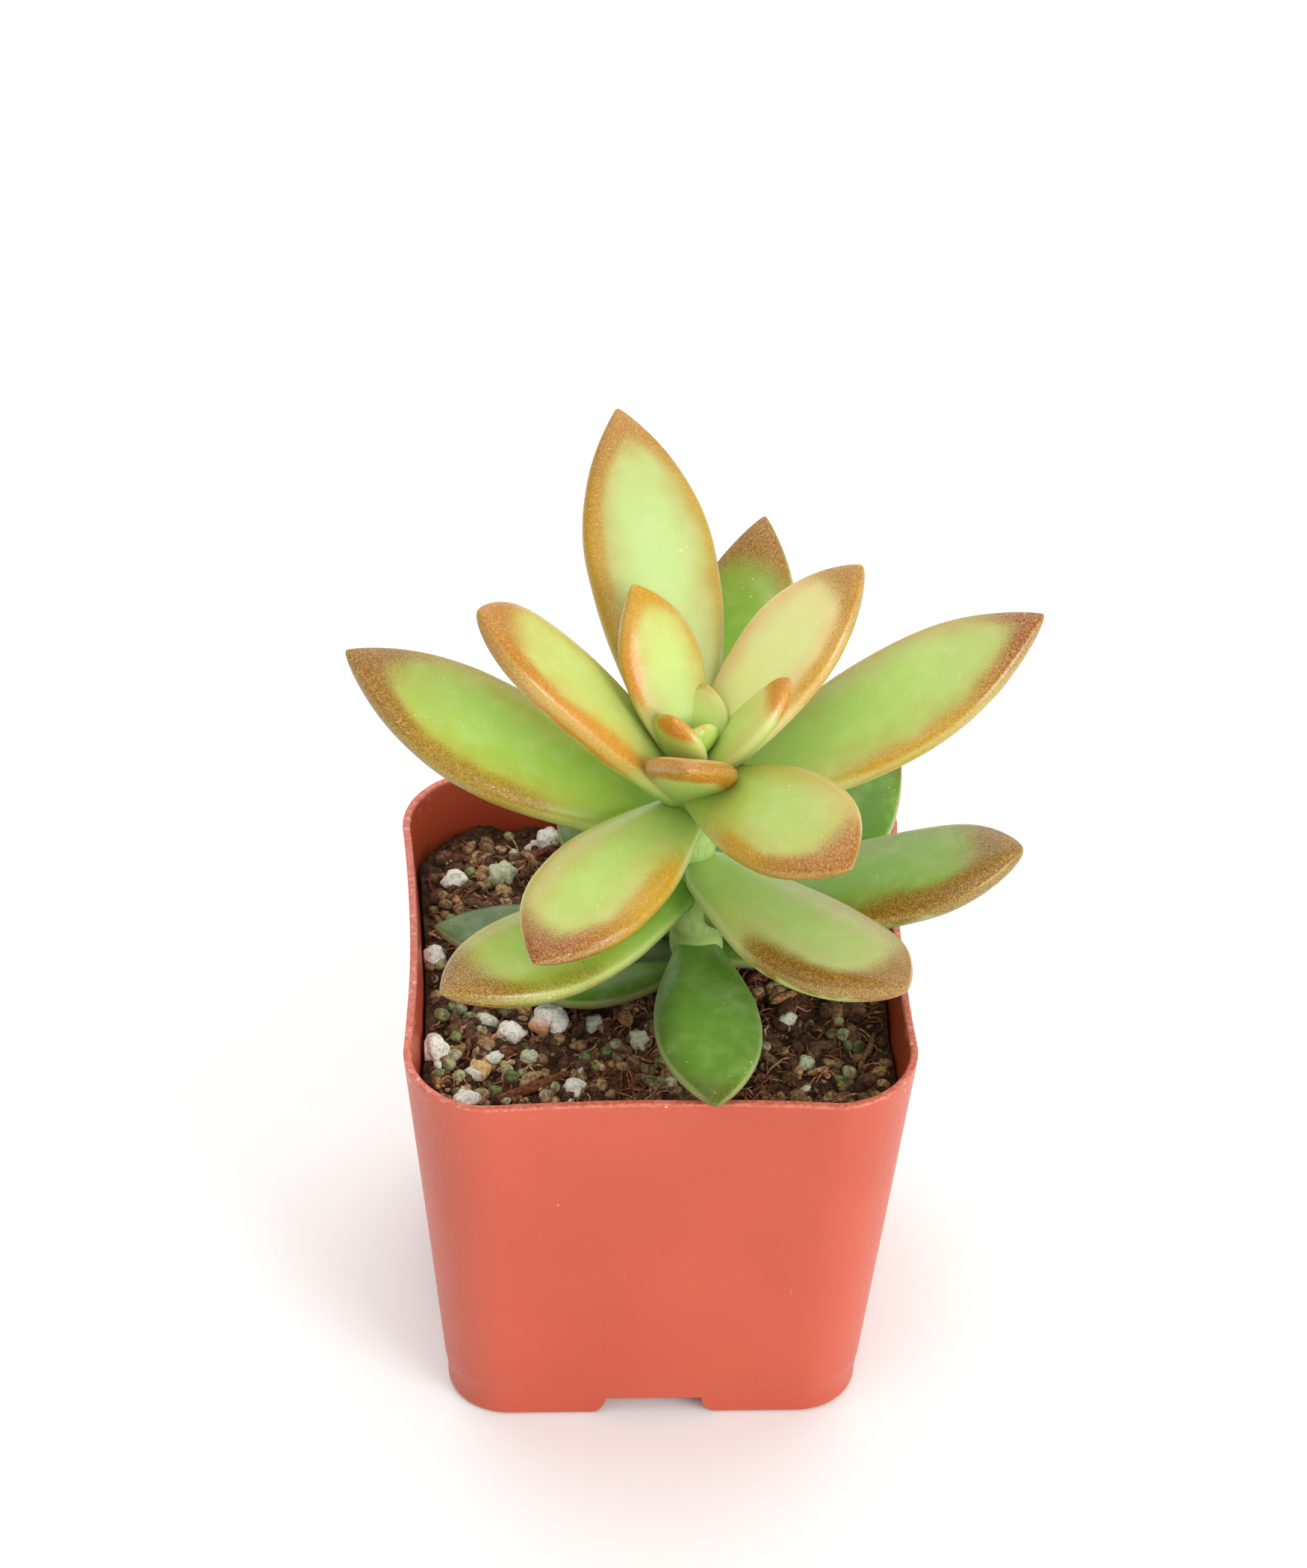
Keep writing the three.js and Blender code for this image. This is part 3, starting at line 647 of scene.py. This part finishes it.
def make_stem(material):
    """The stem, with a low pale collar under each leaf."""
    z = np.repeat(np.linspace(STEM["foot"], STEM["top"] - 1, STEM_RINGS), STEM_SIDES)
    around = np.tile(2 * np.pi * np.arange(STEM_SIDES) / STEM_SIDES, STEM_RINGS)
    joints = np.array([leaf.height for leaf, _ in LEAVES.values()])
    collar = np.exp(-((z[:, None] - joints) / COLLAR_REACH) ** 2).max(1)
    radius = np.interp(z, STEM_PROFILE_Z, STEM_PROFILE_RADIUS) + COLLAR_HEIGHT * collar
    flat = np.stack([radius * np.cos(around), radius * np.sin(around), z * 0.4], 1)
    radius = radius * (1 + STEM_SWELL * ripple(flat, STEM_SWELL_SIZE, STEM_SEED))
    points = np.stack([stem_x(z) + radius * np.cos(around), radius * np.sin(around), z], 1)
    foot, top = STEM["foot"], STEM["top"]
    points = np.vstack([points, [stem_x(foot), 0, foot - 1], [stem_x(top), 0, top - 0.6]])
    skin = faded(STEM_GREEN, STEM_COLLAR, collar * 0.6)
    skin = np.vstack([skin, skin[:1], skin[-1:]])
    return add_mesh("stem_and_crown", points, tube_faces(STEM_RINGS, STEM_SIDES), material, {"skin": skin})


def make_crown(material):
    """The tiny centre leaves, in one piece."""
    rings, sides = CENTRE_LEAF_RINGS, CENTRE_LEAF_SIDES
    heap = Heap()
    for seed, (leaf, look) in enumerate(CENTRE_LEAVES, CENTRE_SEED):
        points, places = leaf_grid(leaf, rings, sides, seed)
        heap.add(points, tube_faces(rings, sides), leaf_layers(look, points, seed, **places))
    return heap.build("centre_leaves", material)


# Pot
SIDE_STEPS = 28
CORNER_STEPS = 18
RIM_ROUND = 0.22
FOOT_BAND_INSET = 0.1
WALL_SWAY = 0.004
RIM_DIP = 0.12
RIM_ROUGHNESS = 0.05
SHARP_FROM = 32


def pot_ring(z, inset=0.0):
    """One level of the pot: a rounded square with sides bowed inwards."""
    share = z / POT["height"]
    half = blend(POT["base_width"], POT["top_width"], share) / 2 - inset
    corner = max(blend(POT["base_corner"], POT["top_corner"], share) - inset, 1)
    straight = half - corner
    along = np.linspace(-1, 1, SIDE_STEPS, endpoint=False)
    arc = np.linspace(0, np.pi / 2, CORNER_STEPS, endpoint=False)
    x = np.concatenate([half - POT["bow"] * share * (1 - along ** 2), straight + corner * np.cos(arc)])
    y = np.concatenate([along * straight, straight + corner * np.sin(arc)])
    quarters = [(x, y), (-y, x), (-x, -y), (y, -x)]
    return np.hstack([np.stack(q) for q in quarters]).T


def turns(start, end, count):
    """Evenly spaced angles in radians, between two in degrees."""
    return np.radians(np.linspace(start, end, count))


def pot_levels():
    """Heights and insets of the skin, from the foot, over the rim and down inside."""
    top = POT["height"]
    rim = top - RIM_ROUND
    floor = NOTCH["height"] + WALL
    levels = [(0, 3), (0, FOOT_ROUND)]
    for turn in turns(15, 90, 6):
        levels.append((FOOT_ROUND * (1 - math.cos(turn)), FOOT_ROUND * (1 - math.sin(turn))))
    levels += [(z, FOOT_BAND_INSET) for z in (1.5, 3, 4.3)]
    levels += [(z, 0) for z in (4.7, 6, *np.linspace(9, top - 1, 18))]
    for turn in turns(0, 90, 4):
        levels.append((rim + RIM_ROUND * math.sin(turn), RIM_ROUND - RIM_ROUND * math.cos(turn)))
    for turn in turns(90, 0, 4):
        levels.append((rim + RIM_ROUND * math.sin(turn), WALL - RIM_ROUND + RIM_ROUND * math.cos(turn)))
    levels += [(z, WALL) for z in np.linspace(top - 1, floor, 8)]
    return levels + [(floor, 4)]


def pot_skin():
    """The whole pot before its notches, with a slightly wavy wall and rim."""
    levels = pot_levels()
    rings = []
    for z, inset in levels:
        ring = pot_ring(z, inset)
        rings.append(np.column_stack([ring, np.full(len(ring), float(z))]))
    points = np.vstack(rings)
    sway = WALL_SWAY * ripple(points * (1, 1, 0.5), 16, 31)
    points[:, :2] *= (1 + sway * fade(points[:, 2], 4, 50))[:, None]
    near_rim = fade(points[:, 2], POT["height"] - 1.2, POT["height"] - 0.1)
    around = points * (1, 1, 0)
    dip = RIM_DIP * (1 + ripple(around, 5, 32)) + RIM_ROUGHNESS * ripple(around, 0.9, 33)
    points[:, 2] -= near_rim * dip
    points = np.vstack([points, [0, 0, 0], [0, 0, levels[-1][0]]])
    return points, tube_faces(len(levels), len(rings[0]))


def notch_outline():
    """The outline of a notch, x and z, with its lower corners flared outwards."""
    half, corner, height = NOTCH["width"] / 2, NOTCH["corner"], NOTCH["height"]
    outline = [(-half - corner, -1)]
    for turn in turns(0, 90, 10):
        outline.append((-half - corner + corner * math.sin(turn), corner - corner * math.cos(turn)))
    outline[-1] = (-half, height)
    return outline + [(-x, z) for x, z in reversed(outline)]


def prism(outline, y_from, y_to):
    """An upright outline of x and z, pushed along y."""
    count = len(outline)
    points = [(x, y, z) for y in (y_from, y_to) for x, z in outline]
    faces = [tuple(range(count)), tuple(range(2 * count - 1, count - 1, -1))]
    faces += [(i, i + count, (i + 1) % count + count, (i + 1) % count) for i in range(count)]
    return np.array(points), faces


def notch_cuts():
    """The outer notch in the front of the foot, and the drain slot in its roof."""
    edge = -POT["base_width"] / 2
    slot_middle = edge + 0.6 * NOTCH["depth"]
    half_length, half_width = NOTCH["slot_length"] / 2, NOTCH["slot_width"] / 2
    slot = [(-half_length, -1), (-half_length, 9), (half_length, 9), (half_length, -1)]
    return [prism(notch_outline(), edge - 3, edge + NOTCH["depth"]),
            prism(slot, slot_middle - half_width, slot_middle + half_width)]


def make_pot(material):
    """The pot, with the same notch and slot cut into the foot of each side."""
    points, faces = pot_skin()
    pot = add_mesh("moulded_pot", points, faces, material)
    cutters = []
    for side in range(4):
        turn = Matrix.Rotation(side * math.pi / 2, 3, "Z")
        for cut_points, cut_faces in notch_cuts():
            turned = np.array([turn @ Vector(p) for p in cut_points])
            cutters.append(add_mesh("cutter", turned, cut_faces, material))
    for cutter in cutters:
        fix_facing(cutter)
        cut = pot.modifiers.new("cut", "BOOLEAN")
        cut.operation = "DIFFERENCE"
        cut.solver = "EXACT"
        cut.object = cutter
    apply_modifiers(pot)
    for cutter in cutters:
        bpy.data.objects.remove(cutter)
    pot.data.shade_smooth()
    pot.data.set_sharp_from_angle(angle=math.radians(SHARP_FROM))
    return pot


def fix_facing(piece):
    """Turns all faces of a closed mesh outwards."""
    work = bmesh.new()
    work.from_mesh(piece.data)
    bmesh.ops.recalc_face_normals(work, faces=work.faces)
    work.to_mesh(piece.data)
    work.free()


def apply_modifiers(piece):
    """Replaces a piece's mesh by what its modifiers make of it."""
    bpy.context.view_layer.update()
    graph = bpy.context.evaluated_depsgraph_get()
    made = bpy.data.meshes.new_from_object(piece.evaluated_get(graph))
    piece.modifiers.clear()
    piece.data = made


# Soil
SOIL_GRID = 230
CLOD_SIZE = 3.2
CLOD_HEIGHT = 0.55
CRUMB_SIZE = 1.1
CRUMB_HEIGHT = 0.22
FLOOR_GAP = 0.4
BED_DARK = "2e2017"
BED_WARM = "70503a"


def soil_level(x, y):
    """The broad shape of the bed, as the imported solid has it."""
    from_stem = np.hypot(x - STEM["foot_x"], y) / SOIL["mound_reach"]
    to_wall = np.maximum(np.abs(x), np.abs(y)) / (POT["top_width"] / 2)
    waves = np.sin(0.62 * x + 1.3) * np.cos(0.55 * y - 0.4) + 0.6 * np.sin(1.1 * x - 0.8 * y)
    mound = SOIL["mound"] * np.exp(-from_stem ** 2)
    return SOIL["level"] + SOIL["relief"] * waves + mound - SOIL["edge_drop"] * to_wall ** 6


def bed_height(x, y):
    """The bed with its clods and crumbs."""
    clods = noise.fractal(Vector((x, y, 3.0)) / CLOD_SIZE, 0.9, 2.1, 3)
    crumbs = noise.ridged_multi_fractal(Vector((x, y, 9.0)) / CRUMB_SIZE, 0.8, 2.2, 3, 1.0, 2.0)
    return float(soil_level(x, y)) + CLOD_HEIGHT * clods + CRUMB_HEIGHT * (crumbs - 1)


def wall_reach(directions, z):
    """How far the soil reaches from the axis in each direction, at a height."""
    ring = pot_ring(z, WALL + SOIL["gap"])
    angle = np.arctan2(ring[:, 1], ring[:, 0])
    order = np.argsort(angle)
    reach = np.hypot(ring[:, 0], ring[:, 1])
    return np.interp(directions, angle[order], reach[order], period=2 * np.pi)


def grid_border(count):
    """The points round the edge of a square grid, in order."""
    last = count - 1
    front = list(range(count))
    right = [row * count + last for row in range(1, count)]
    back = [last * count + column for column in range(last - 1, -1, -1)]
    left = [row * count for row in range(last - 1, 0, -1)]
    return front + right + back + left


def make_bed(material):
    """The bed's rough top, closed by a skirt down the wall and a floor."""
    side = np.linspace(-1, 1, SOIL_GRID)
    across, along = [grid.ravel() for grid in np.meshgrid(side, side)]
    direction = np.arctan2(along, across)
    to_square = np.maximum(np.abs(np.cos(direction)), np.abs(np.sin(direction)))
    reach = wall_reach(direction, SOIL["level"])
    x, y = across * reach * to_square, along * reach * to_square
    z = np.array([bed_height(a, b) for a, b in zip(x, y)])
    faces = grid_faces(SOIL_GRID)
    border = grid_border(SOIL_GRID)
    low = NOTCH["height"] + WALL + FLOOR_GAP
    shrink = wall_reach(direction[border], low) / reach[border]
    skirt = np.stack([x[border] * shrink, y[border] * shrink, np.full(len(border), low)], 1)
    points = np.vstack([np.stack([x, y, z], 1), skirt, [0, 0, low]])
    first, middle = len(x), len(x) + len(border)
    for k, corner in enumerate(border):
        following = (k + 1) % len(border)
        faces.append((border[following], corner, first + k, first + following))
        faces.append((first + following, first + k, middle))
    lightness = 0.5 + 0.5 * ripple(points * (1, 1, 0.3), 1.7, 41)
    tint = faded(BED_DARK, BED_WARM, np.clip(lightness, 0, 1))
    return add_mesh("soil_bed", points, faces, material, {"tint": tint})


def ball(detail):
    """A ball of radius 1 made of even triangles."""
    work = bmesh.new()
    bmesh.ops.create_icosphere(work, subdivisions=detail, radius=1)
    points = np.array([v.co for v in work.verts])
    faces = [tuple(v.index for v in face.verts) for face in work.faces]
    work.free()
    return points, faces


BALLS = {detail: ball(detail) for detail in (2, 3, 4)}
BED_SHARE = SOIL["level"] / POT["height"]
BED_REACH = blend(POT["base_width"], POT["top_width"], BED_SHARE) / 2 - WALL - POT["bow"]
STEM_CLEARANCE = 3.6

PEAT = ["644634", "7a5842", "906e54", "4e3628", "a0805f", "6e5040", "b8966e", "c4a47c"]
GRAINS = ["9ca070", "848c56", "b4b88a", "c6c4a2", "74804e", "a6ac84"]
WHITES = ["e8e6da", "dcdccc", "f0eee6", "cfd2bc"]
TANS = ["d8b27c", "c89a64", "e0c090", "b98a58"]
FIBRES = ["985c40", "b47a56", "84503a", "c8946c", "935a40", "d8ac80"]

CRUMB_COUNT = 2100
SMALL_PERLITE_COUNT = 80
GRAIN_COUNT = 230
GRAINS_IN_CLUSTER = 9
FIBRE_COUNT = 1000
TUFT_COUNT = 26
CHIP_COUNT = 190


def is_inside(x, y, margin):
    """Whether a place on the bed is at least that far from the wall."""
    reach = BED_REACH - margin
    past = [max(abs(value) - reach + POT["top_corner"], 0) for value in (x, y)]
    return max(abs(x), abs(y)) < reach and math.hypot(*past) < POT["top_corner"]


def rough_lump(rng, place, size, shape, detail=2, roughness=0.35, feature=0.7):
    """A lump of that size in millimetres, roughened by noise and turned at random."""
    points, faces = BALLS[detail]
    push = 1 + roughness * ripple(points, feature, rng.uniform(0, 400))
    points = points * push[:, None] * np.array(shape) * size / 2
    spin = Matrix.Rotation(rng.uniform(0, 2 * math.pi), 3, "Z")
    tilt = Matrix.Rotation(rng.normal(0, 0.35), 3, "X")
    points = points @ np.array(spin @ tilt).T + place
    points[:, :2] = np.clip(points[:, :2], -BED_REACH, BED_REACH)
    return points, faces


def random_place(rng, margin):
    """A place on the bed, away from the wall and the stem."""
    while True:
        x, y = rng.uniform(-BED_REACH, BED_REACH, 2)
        if is_inside(x, y, margin) and math.hypot(x - STEM["foot_x"], y) > STEM_CLEARANCE:
            return x, y


def on_bed(x, y, lift):
    """The point that far above the bed."""
    return x, y, bed_height(x, y) + lift


def tinted(rng, colours, spread=0.15):
    """One of the colours, made darker or lighter at random."""
    colour = linear(colours[rng.integers(len(colours))])
    colour[:3] *= 1 + rng.uniform(-spread, spread)
    return colour


def make_crumbs(material, rng):
    heap = Heap()
    for _ in range(CRUMB_COUNT):
        x, y = random_place(rng, 0.8)
        size = 0.5 + 1.7 * rng.random() ** 2
        shape = (rng.uniform(0.7, 1.5), rng.uniform(0.6, 1), rng.uniform(0.5, 0.9))
        heap.add_tinted(*rough_lump(rng, on_bed(x, y, 0.1 * size), size, shape), tinted(rng, PEAT))
    return heap.build("peat_crumbs", material)


# The larger perlite lumps: x, y and size in millimetres
LUMPS = [
    (-12, -7.5, 4.4), (-25, -11.5, 3.4), (-16.5, -9.5, 3), (-21.5, -20.5, 3.2), (-9.5, -18, 2.6),
    (-2, -11, 2.4), (-20, -15, 2.6), (-14.5, -13.5, 2), (-11.5, 23.5, 3), (-22.5, 16.5, 2.8),
    (-17, 17.5, 3.2), (-25, 3.5, 2.6), (16.5, -14.5, 2), (19.5, 15, 2.8), (9, 22, 2.6),
]
RUSTY_LUMP = 0
TAN_LUMP = 6
GREENISH_LUMPS = (5, 7, 10, 12)
GREENISH = np.array([0.62, 0.68, 0.5, 1])
LUMP_WHITE = "f2f0e8"
LUMP_TAN = "dcb880"
LUMP_RUST = "d88a48"
RUSTY_SIDE = np.array([-0.25, -0.75, -0.6])


def lump_tint(order, from_middle):
    """The colour of each point of a perlite lump, stained in a few of them."""
    tint = np.tile(linear(LUMP_TAN if order == TAN_LUMP else LUMP_WHITE), (len(from_middle), 1))
    if order in GREENISH_LUMPS:
        tint = tint * GREENISH
    if order == RUSTY_LUMP:
        rust = 0.85 * fade(from_middle @ RUSTY_SIDE, 0, 1.4)
        tint = blend(tint, linear(LUMP_RUST), rust[:, None])
    return tint


def make_perlite(material, rng):
    heap = Heap()
    for order, (x, y, size) in enumerate(LUMPS):
        place = np.array([x, y, float(soil_level(x, y)) + 0.24 * size])
        points, faces = rough_lump(rng, place, size * 1.04, (1, 0.9, 0.82), detail=4, roughness=0.32,
                                   feature=0.6)
        heap.add_tinted(points, faces, lump_tint(order, points - place))
    for _ in range(SMALL_PERLITE_COUNT):
        x, y = random_place(rng, 1.4)
        if x > 6 and rng.random() < 0.6:
            continue
        size = 0.7 + 1.9 * rng.random() ** 1.5
        lump = rough_lump(rng, on_bed(x, y, 0.22 * size), size, (1.1, 0.8, 0.75), detail=3,
                          roughness=0.4, feature=0.6)
        heap.add_tinted(*lump, tinted(rng, WHITES, 0.08))
    return heap.build("perlite", material)


TAN_CLUSTERS = [(-19.8, -14.6), (-23.6, -17.8), (-15.5, -20.3), (-17.4, -14.2), (-21, -11.5),
                (-13, -18.5), (-6.5, -14.5), (12, -19.5), (20, -17)]


def make_grains(material, rng):
    """Greenish mineral grains, and tan ones in clusters."""
    heap = Heap()
    for _ in range(GRAIN_COUNT):
        x, y = random_place(rng, 1.2)
        if x > 4 and rng.random() < 0.45:
            continue
        size = rng.uniform(0.8, 1.9)
        grain = rough_lump(rng, on_bed(x, y, 0.2 * size), size, (1.1, 0.92, 0.85),
                           roughness=0.16, feature=0.9)
        heap.add_tinted(*grain, tinted(rng, GRAINS))
    for middle_x, middle_y in TAN_CLUSTERS:
        for _ in range(GRAINS_IN_CLUSTER):
            x, y = middle_x + rng.normal(0, 0.8), middle_y + rng.normal(0, 0.55)
            size = rng.uniform(0.45, 1.1)
            grain = rough_lump(rng, on_bed(x, y, 0.4 * size), size, (1, 0.9, 0.8), feature=0.6)
            heap.add_tinted(*grain, tinted(rng, TANS))
    return heap.build("mineral_grains", material)


def strand(path, radius, sides=5):
    """A closed thin tube along points, thinner towards both ends."""
    path = np.array(path)
    count = len(path)
    along = np.gradient(path, axis=0)
    along /= np.linalg.norm(along, axis=1)[:, None]
    across = np.cross(along, (0.0, 0.0, 1.0))
    across /= np.linalg.norm(across, axis=1)[:, None] + 1e-9
    up = np.cross(across, along)
    taper = radius * (0.45 + 0.55 * np.sin(np.pi * (np.arange(count) + 0.5) / count))
    turn = 2 * np.pi * np.arange(sides) / sides
    spokes = np.cos(turn)[None, :, None] * across[:, None] + np.sin(turn)[None, :, None] * up[:, None]
    rings = path[:, None] + taper[:, None, None] * spokes
    points = np.vstack([rings.reshape(-1, 3), path[0], path[-1]])
    return points, tube_faces(count, sides)


def wandering_path(rng, x, y, length, steps, lift, heading=None):
    """A line over the bed that turns a little at each step and arches up in its middle."""
    heading = rng.uniform(0, 2 * math.pi) if heading is None else heading
    step = length / steps
    path = []
    for k in range(steps):
        arch = lift * math.sin(math.pi * k / (steps - 1))
        path.append(on_bed(x, y, 0.05 + arch))
        heading += rng.normal(0, 0.28)
        if not is_inside(x + math.cos(heading) * step, y + math.sin(heading) * step, 0.4):
            heading = math.atan2(-y, -x)
        x += math.cos(heading) * step
        y += math.sin(heading) * step
    return path


TUFT_MIDDLE = (-1.8, -20.5)


def make_fibres(material, rng):
    """Fibres all over the bed, and a tuft of them near the front wall."""
    heap = Heap()
    for _ in range(FIBRE_COUNT):
        x, y = random_place(rng, 2.2)
        length = rng.uniform(2, 7)
        path = wandering_path(rng, x, y, length, 9, rng.uniform(0, 0.7))
        heap.add_tinted(*strand(path, rng.uniform(0.05, 0.17)), tinted(rng, FIBRES))
    for _ in range(TUFT_COUNT):
        x, y = TUFT_MIDDLE[0] + rng.normal(0, 1.1), TUFT_MIDDLE[1] + rng.normal(0, 0.8)
        path = wandering_path(rng, x, y, rng.uniform(5, 8), 10, rng.uniform(0.2, 1), rng.normal(1.5, 0.3))
        heap.add_tinted(*strand(path, rng.uniform(0.05, 0.1)), tinted(rng, FIBRES))
    return heap.build("coir_fibres", material)


# Root splinters: both ends as x and y, thickness and colour
SPLINTERS = [
    ((-18.5, -20.5), (-10, -16), 1.1, "8a5634"),
    ((-15.5, 21), (-10.5, 21.5), 0.9, "8c5040"),
    ((22.5, -15), (24.5, -9.5), 0.9, "9a7a5c"),
    ((-12, -2.5), (-3.5, -5.5), 1.3, "4a3626"),
]
SPLINTER_ROUGHNESS = 0.12


def splinter(start, end, thickness):
    """A crooked rough rod that lies on the bed."""
    path = []
    for t in np.linspace(0, 1, 14):
        x, y = blend(np.array(start), np.array(end), t)
        bow = 0.35 * math.sin(2.6 * math.pi * t)
        z = float(soil_level(x, y)) + 0.45 * thickness + 0.3 * math.sin(math.pi * t)
        path.append((x, y + bow, z))
    points, faces = strand(path, thickness / 2, 10)
    push = np.stack([ripple(points, 0.8, 60 + axis) for axis in range(3)], 1)
    return points + SPLINTER_ROUGHNESS * push, faces


def make_bark(material, rng):
    """Root splinters, and flat chips of bark."""
    heap = Heap()
    for start, end, thickness, colour in SPLINTERS:
        heap.add_tinted(*splinter(start, end, thickness), linear(colour))
    for _ in range(CHIP_COUNT):
        x, y = random_place(rng, 1.8)
        size = rng.uniform(1, 2.6)
        shape = (rng.uniform(1.2, 2), rng.uniform(0.5, 0.8), rng.uniform(0.25, 0.45))
        chip = rough_lump(rng, on_bed(x, y, 0.12 * size), size, shape, roughness=0.3, feature=0.8)
        heap.add_tinted(*chip, tinted(rng, PEAT + FIBRES))
    return heap.build("bark_chips", material)


# The studio
FLOOR_HALF = 4.0
FLOOR_GRID = 9
FLOOR_DARK = "f0f4f2"
FLOOR_LIGHT = "f2f6f4"


def make_floor():
    paint = Paint("Studio floor")
    paint.feed("Base Color", paint.mix(paint.noise(400), FLOOR_DARK, FLOOR_LIGHT))
    paint.feed("Roughness", 0.9)
    paint.feed("Specular IOR Level", 0.1)
    side = np.linspace(-FLOOR_HALF, FLOOR_HALF, FLOOR_GRID) / MM
    points = [(x, y, 0) for y in side for x in side]
    add_mesh("studio_floor", points, grid_faces(FLOOR_GRID), paint.material)


# Soft boxes: direction from the pot in degrees about Z and above the floor, width in metres and
# power in watts
SOFT_BOXES = {
    "front_right": (315, 22, 0.7, 9.8),
    "back": (90, 52, 2, 11.8),
    "front_left": (240, 60, 1, 2.6),
}
SOFT_BOX_DISTANCE = 1.2
SURROUNDINGS = 0.65


def add_soft_box(name, azimuth, elevation, size, power):
    """A round soft box that faces the pot and isn't seen itself."""
    data = bpy.data.lights.new(name, "AREA")
    data.shape = "DISK"
    data.size = size
    data.energy = power
    lamp = bpy.data.objects.new(name, data)
    bpy.context.scene.collection.objects.link(lamp)
    azimuth, elevation = math.radians(azimuth), math.radians(elevation)
    flat = math.cos(elevation)
    towards = Vector((flat * math.cos(azimuth), flat * math.sin(azimuth), math.sin(elevation)))
    lamp.location = towards * SOFT_BOX_DISTANCE
    lamp.rotation_euler = (-lamp.location).to_track_quat("-Z", "Y").to_euler()
    lamp.visible_camera = False


def light_studio():
    world = bpy.data.worlds.new("Studio")
    world.use_nodes = True
    background = world.node_tree.nodes["Background"]
    background.inputs["Color"].default_value = linear("ffffff")
    background.inputs["Strength"].default_value = SURROUNDINGS
    bpy.context.scene.world = world
    for name, setting in SOFT_BOXES.items():
        add_soft_box(name, *setting)
    bpy.context.scene.view_settings.view_transform = "Standard"
    bpy.context.scene.view_settings.look = "None"


# The photograph's camera: elevation, turn about Z and roll in degrees, and its distance
CAMERA = dict(elevation=40.75, yaw=-2.87, roll=1.53, distance=0.7, target=(-0.00071, 0, 0.0758))
FOCAL_PIXELS = 8481
IMAGE_HEIGHT = 2100
SENSOR = 36


def add_camera():
    elevation, yaw, roll = [math.radians(CAMERA[k]) for k in ("elevation", "yaw", "roll")]
    flat = math.cos(elevation)
    back = Vector((math.sin(yaw) * flat, -math.cos(yaw) * flat, math.sin(elevation)))
    right = (-back).cross(Vector((0, 0, 1))).normalized()
    up = right.cross(-back)
    side = right * math.cos(roll) + up * math.sin(roll)
    top = up * math.cos(roll) - right * math.sin(roll)
    data = bpy.data.cameras.new("camera")
    data.sensor_width = SENSOR
    data.lens = FOCAL_PIXELS / IMAGE_HEIGHT * SENSOR
    data.clip_start = 0.01
    data.clip_end = 30
    camera = bpy.data.objects.new("camera", data)
    bpy.context.scene.collection.objects.link(camera)
    place = Matrix.Translation(Vector(CAMERA["target"]) + back * CAMERA["distance"])
    camera.matrix_world = place @ Matrix((side, top, back)).transposed().to_4x4()
    bpy.context.scene.camera = camera


# Build
BLUSHED_COUNT = 14
BLUSHED = list(LEAVES)[:BLUSHED_COUNT]


def build_plant():
    blushed = leaf_skin("Blushed leaf skin", dots=0.5, gloss=0.5)
    green = leaf_skin("Green leaf skin", dots=0.15, gloss=0.25)
    for seed, name in enumerate(LEAVES):
        has_blush = name in BLUSHED
        leaf = make_leaf(name, seed + 1, blushed if has_blush else green)
        stand_for(leaf, "leaf_blushed" if has_blush else "leaf_green", name)
    stand_for(make_stem(stem_skin()), "stem_skin", "stem_with_crown")
    stand_for(make_crown(blushed), "stem_skin", "stem_with_crown")


def build_soil():
    rng = np.random.default_rng(11)
    peat = soil_material("Peat", roughness=0.95, grain_size=0.5, depth=0.15)
    mineral = soil_material("Mineral grain", roughness=0.8, grain_size=0.6, depth=0.08)
    fibre = soil_material("Root fibre", roughness=0.85, grain_size=0.4, depth=0.05)
    pieces = [make_bed(peat), make_crumbs(peat, rng), make_perlite(perlite_material(), rng),
              make_grains(mineral, rng), make_fibres(fibre, rng), make_bark(fibre, rng)]
    for piece in pieces:
        stand_for(piece, "potting_mix", "potting_soil")


build_plant()
build_soil()
stand_for(make_pot(pot_plastic()), "pot_plastic", "nursery_pot")
make_floor()
light_studio()
add_camera()
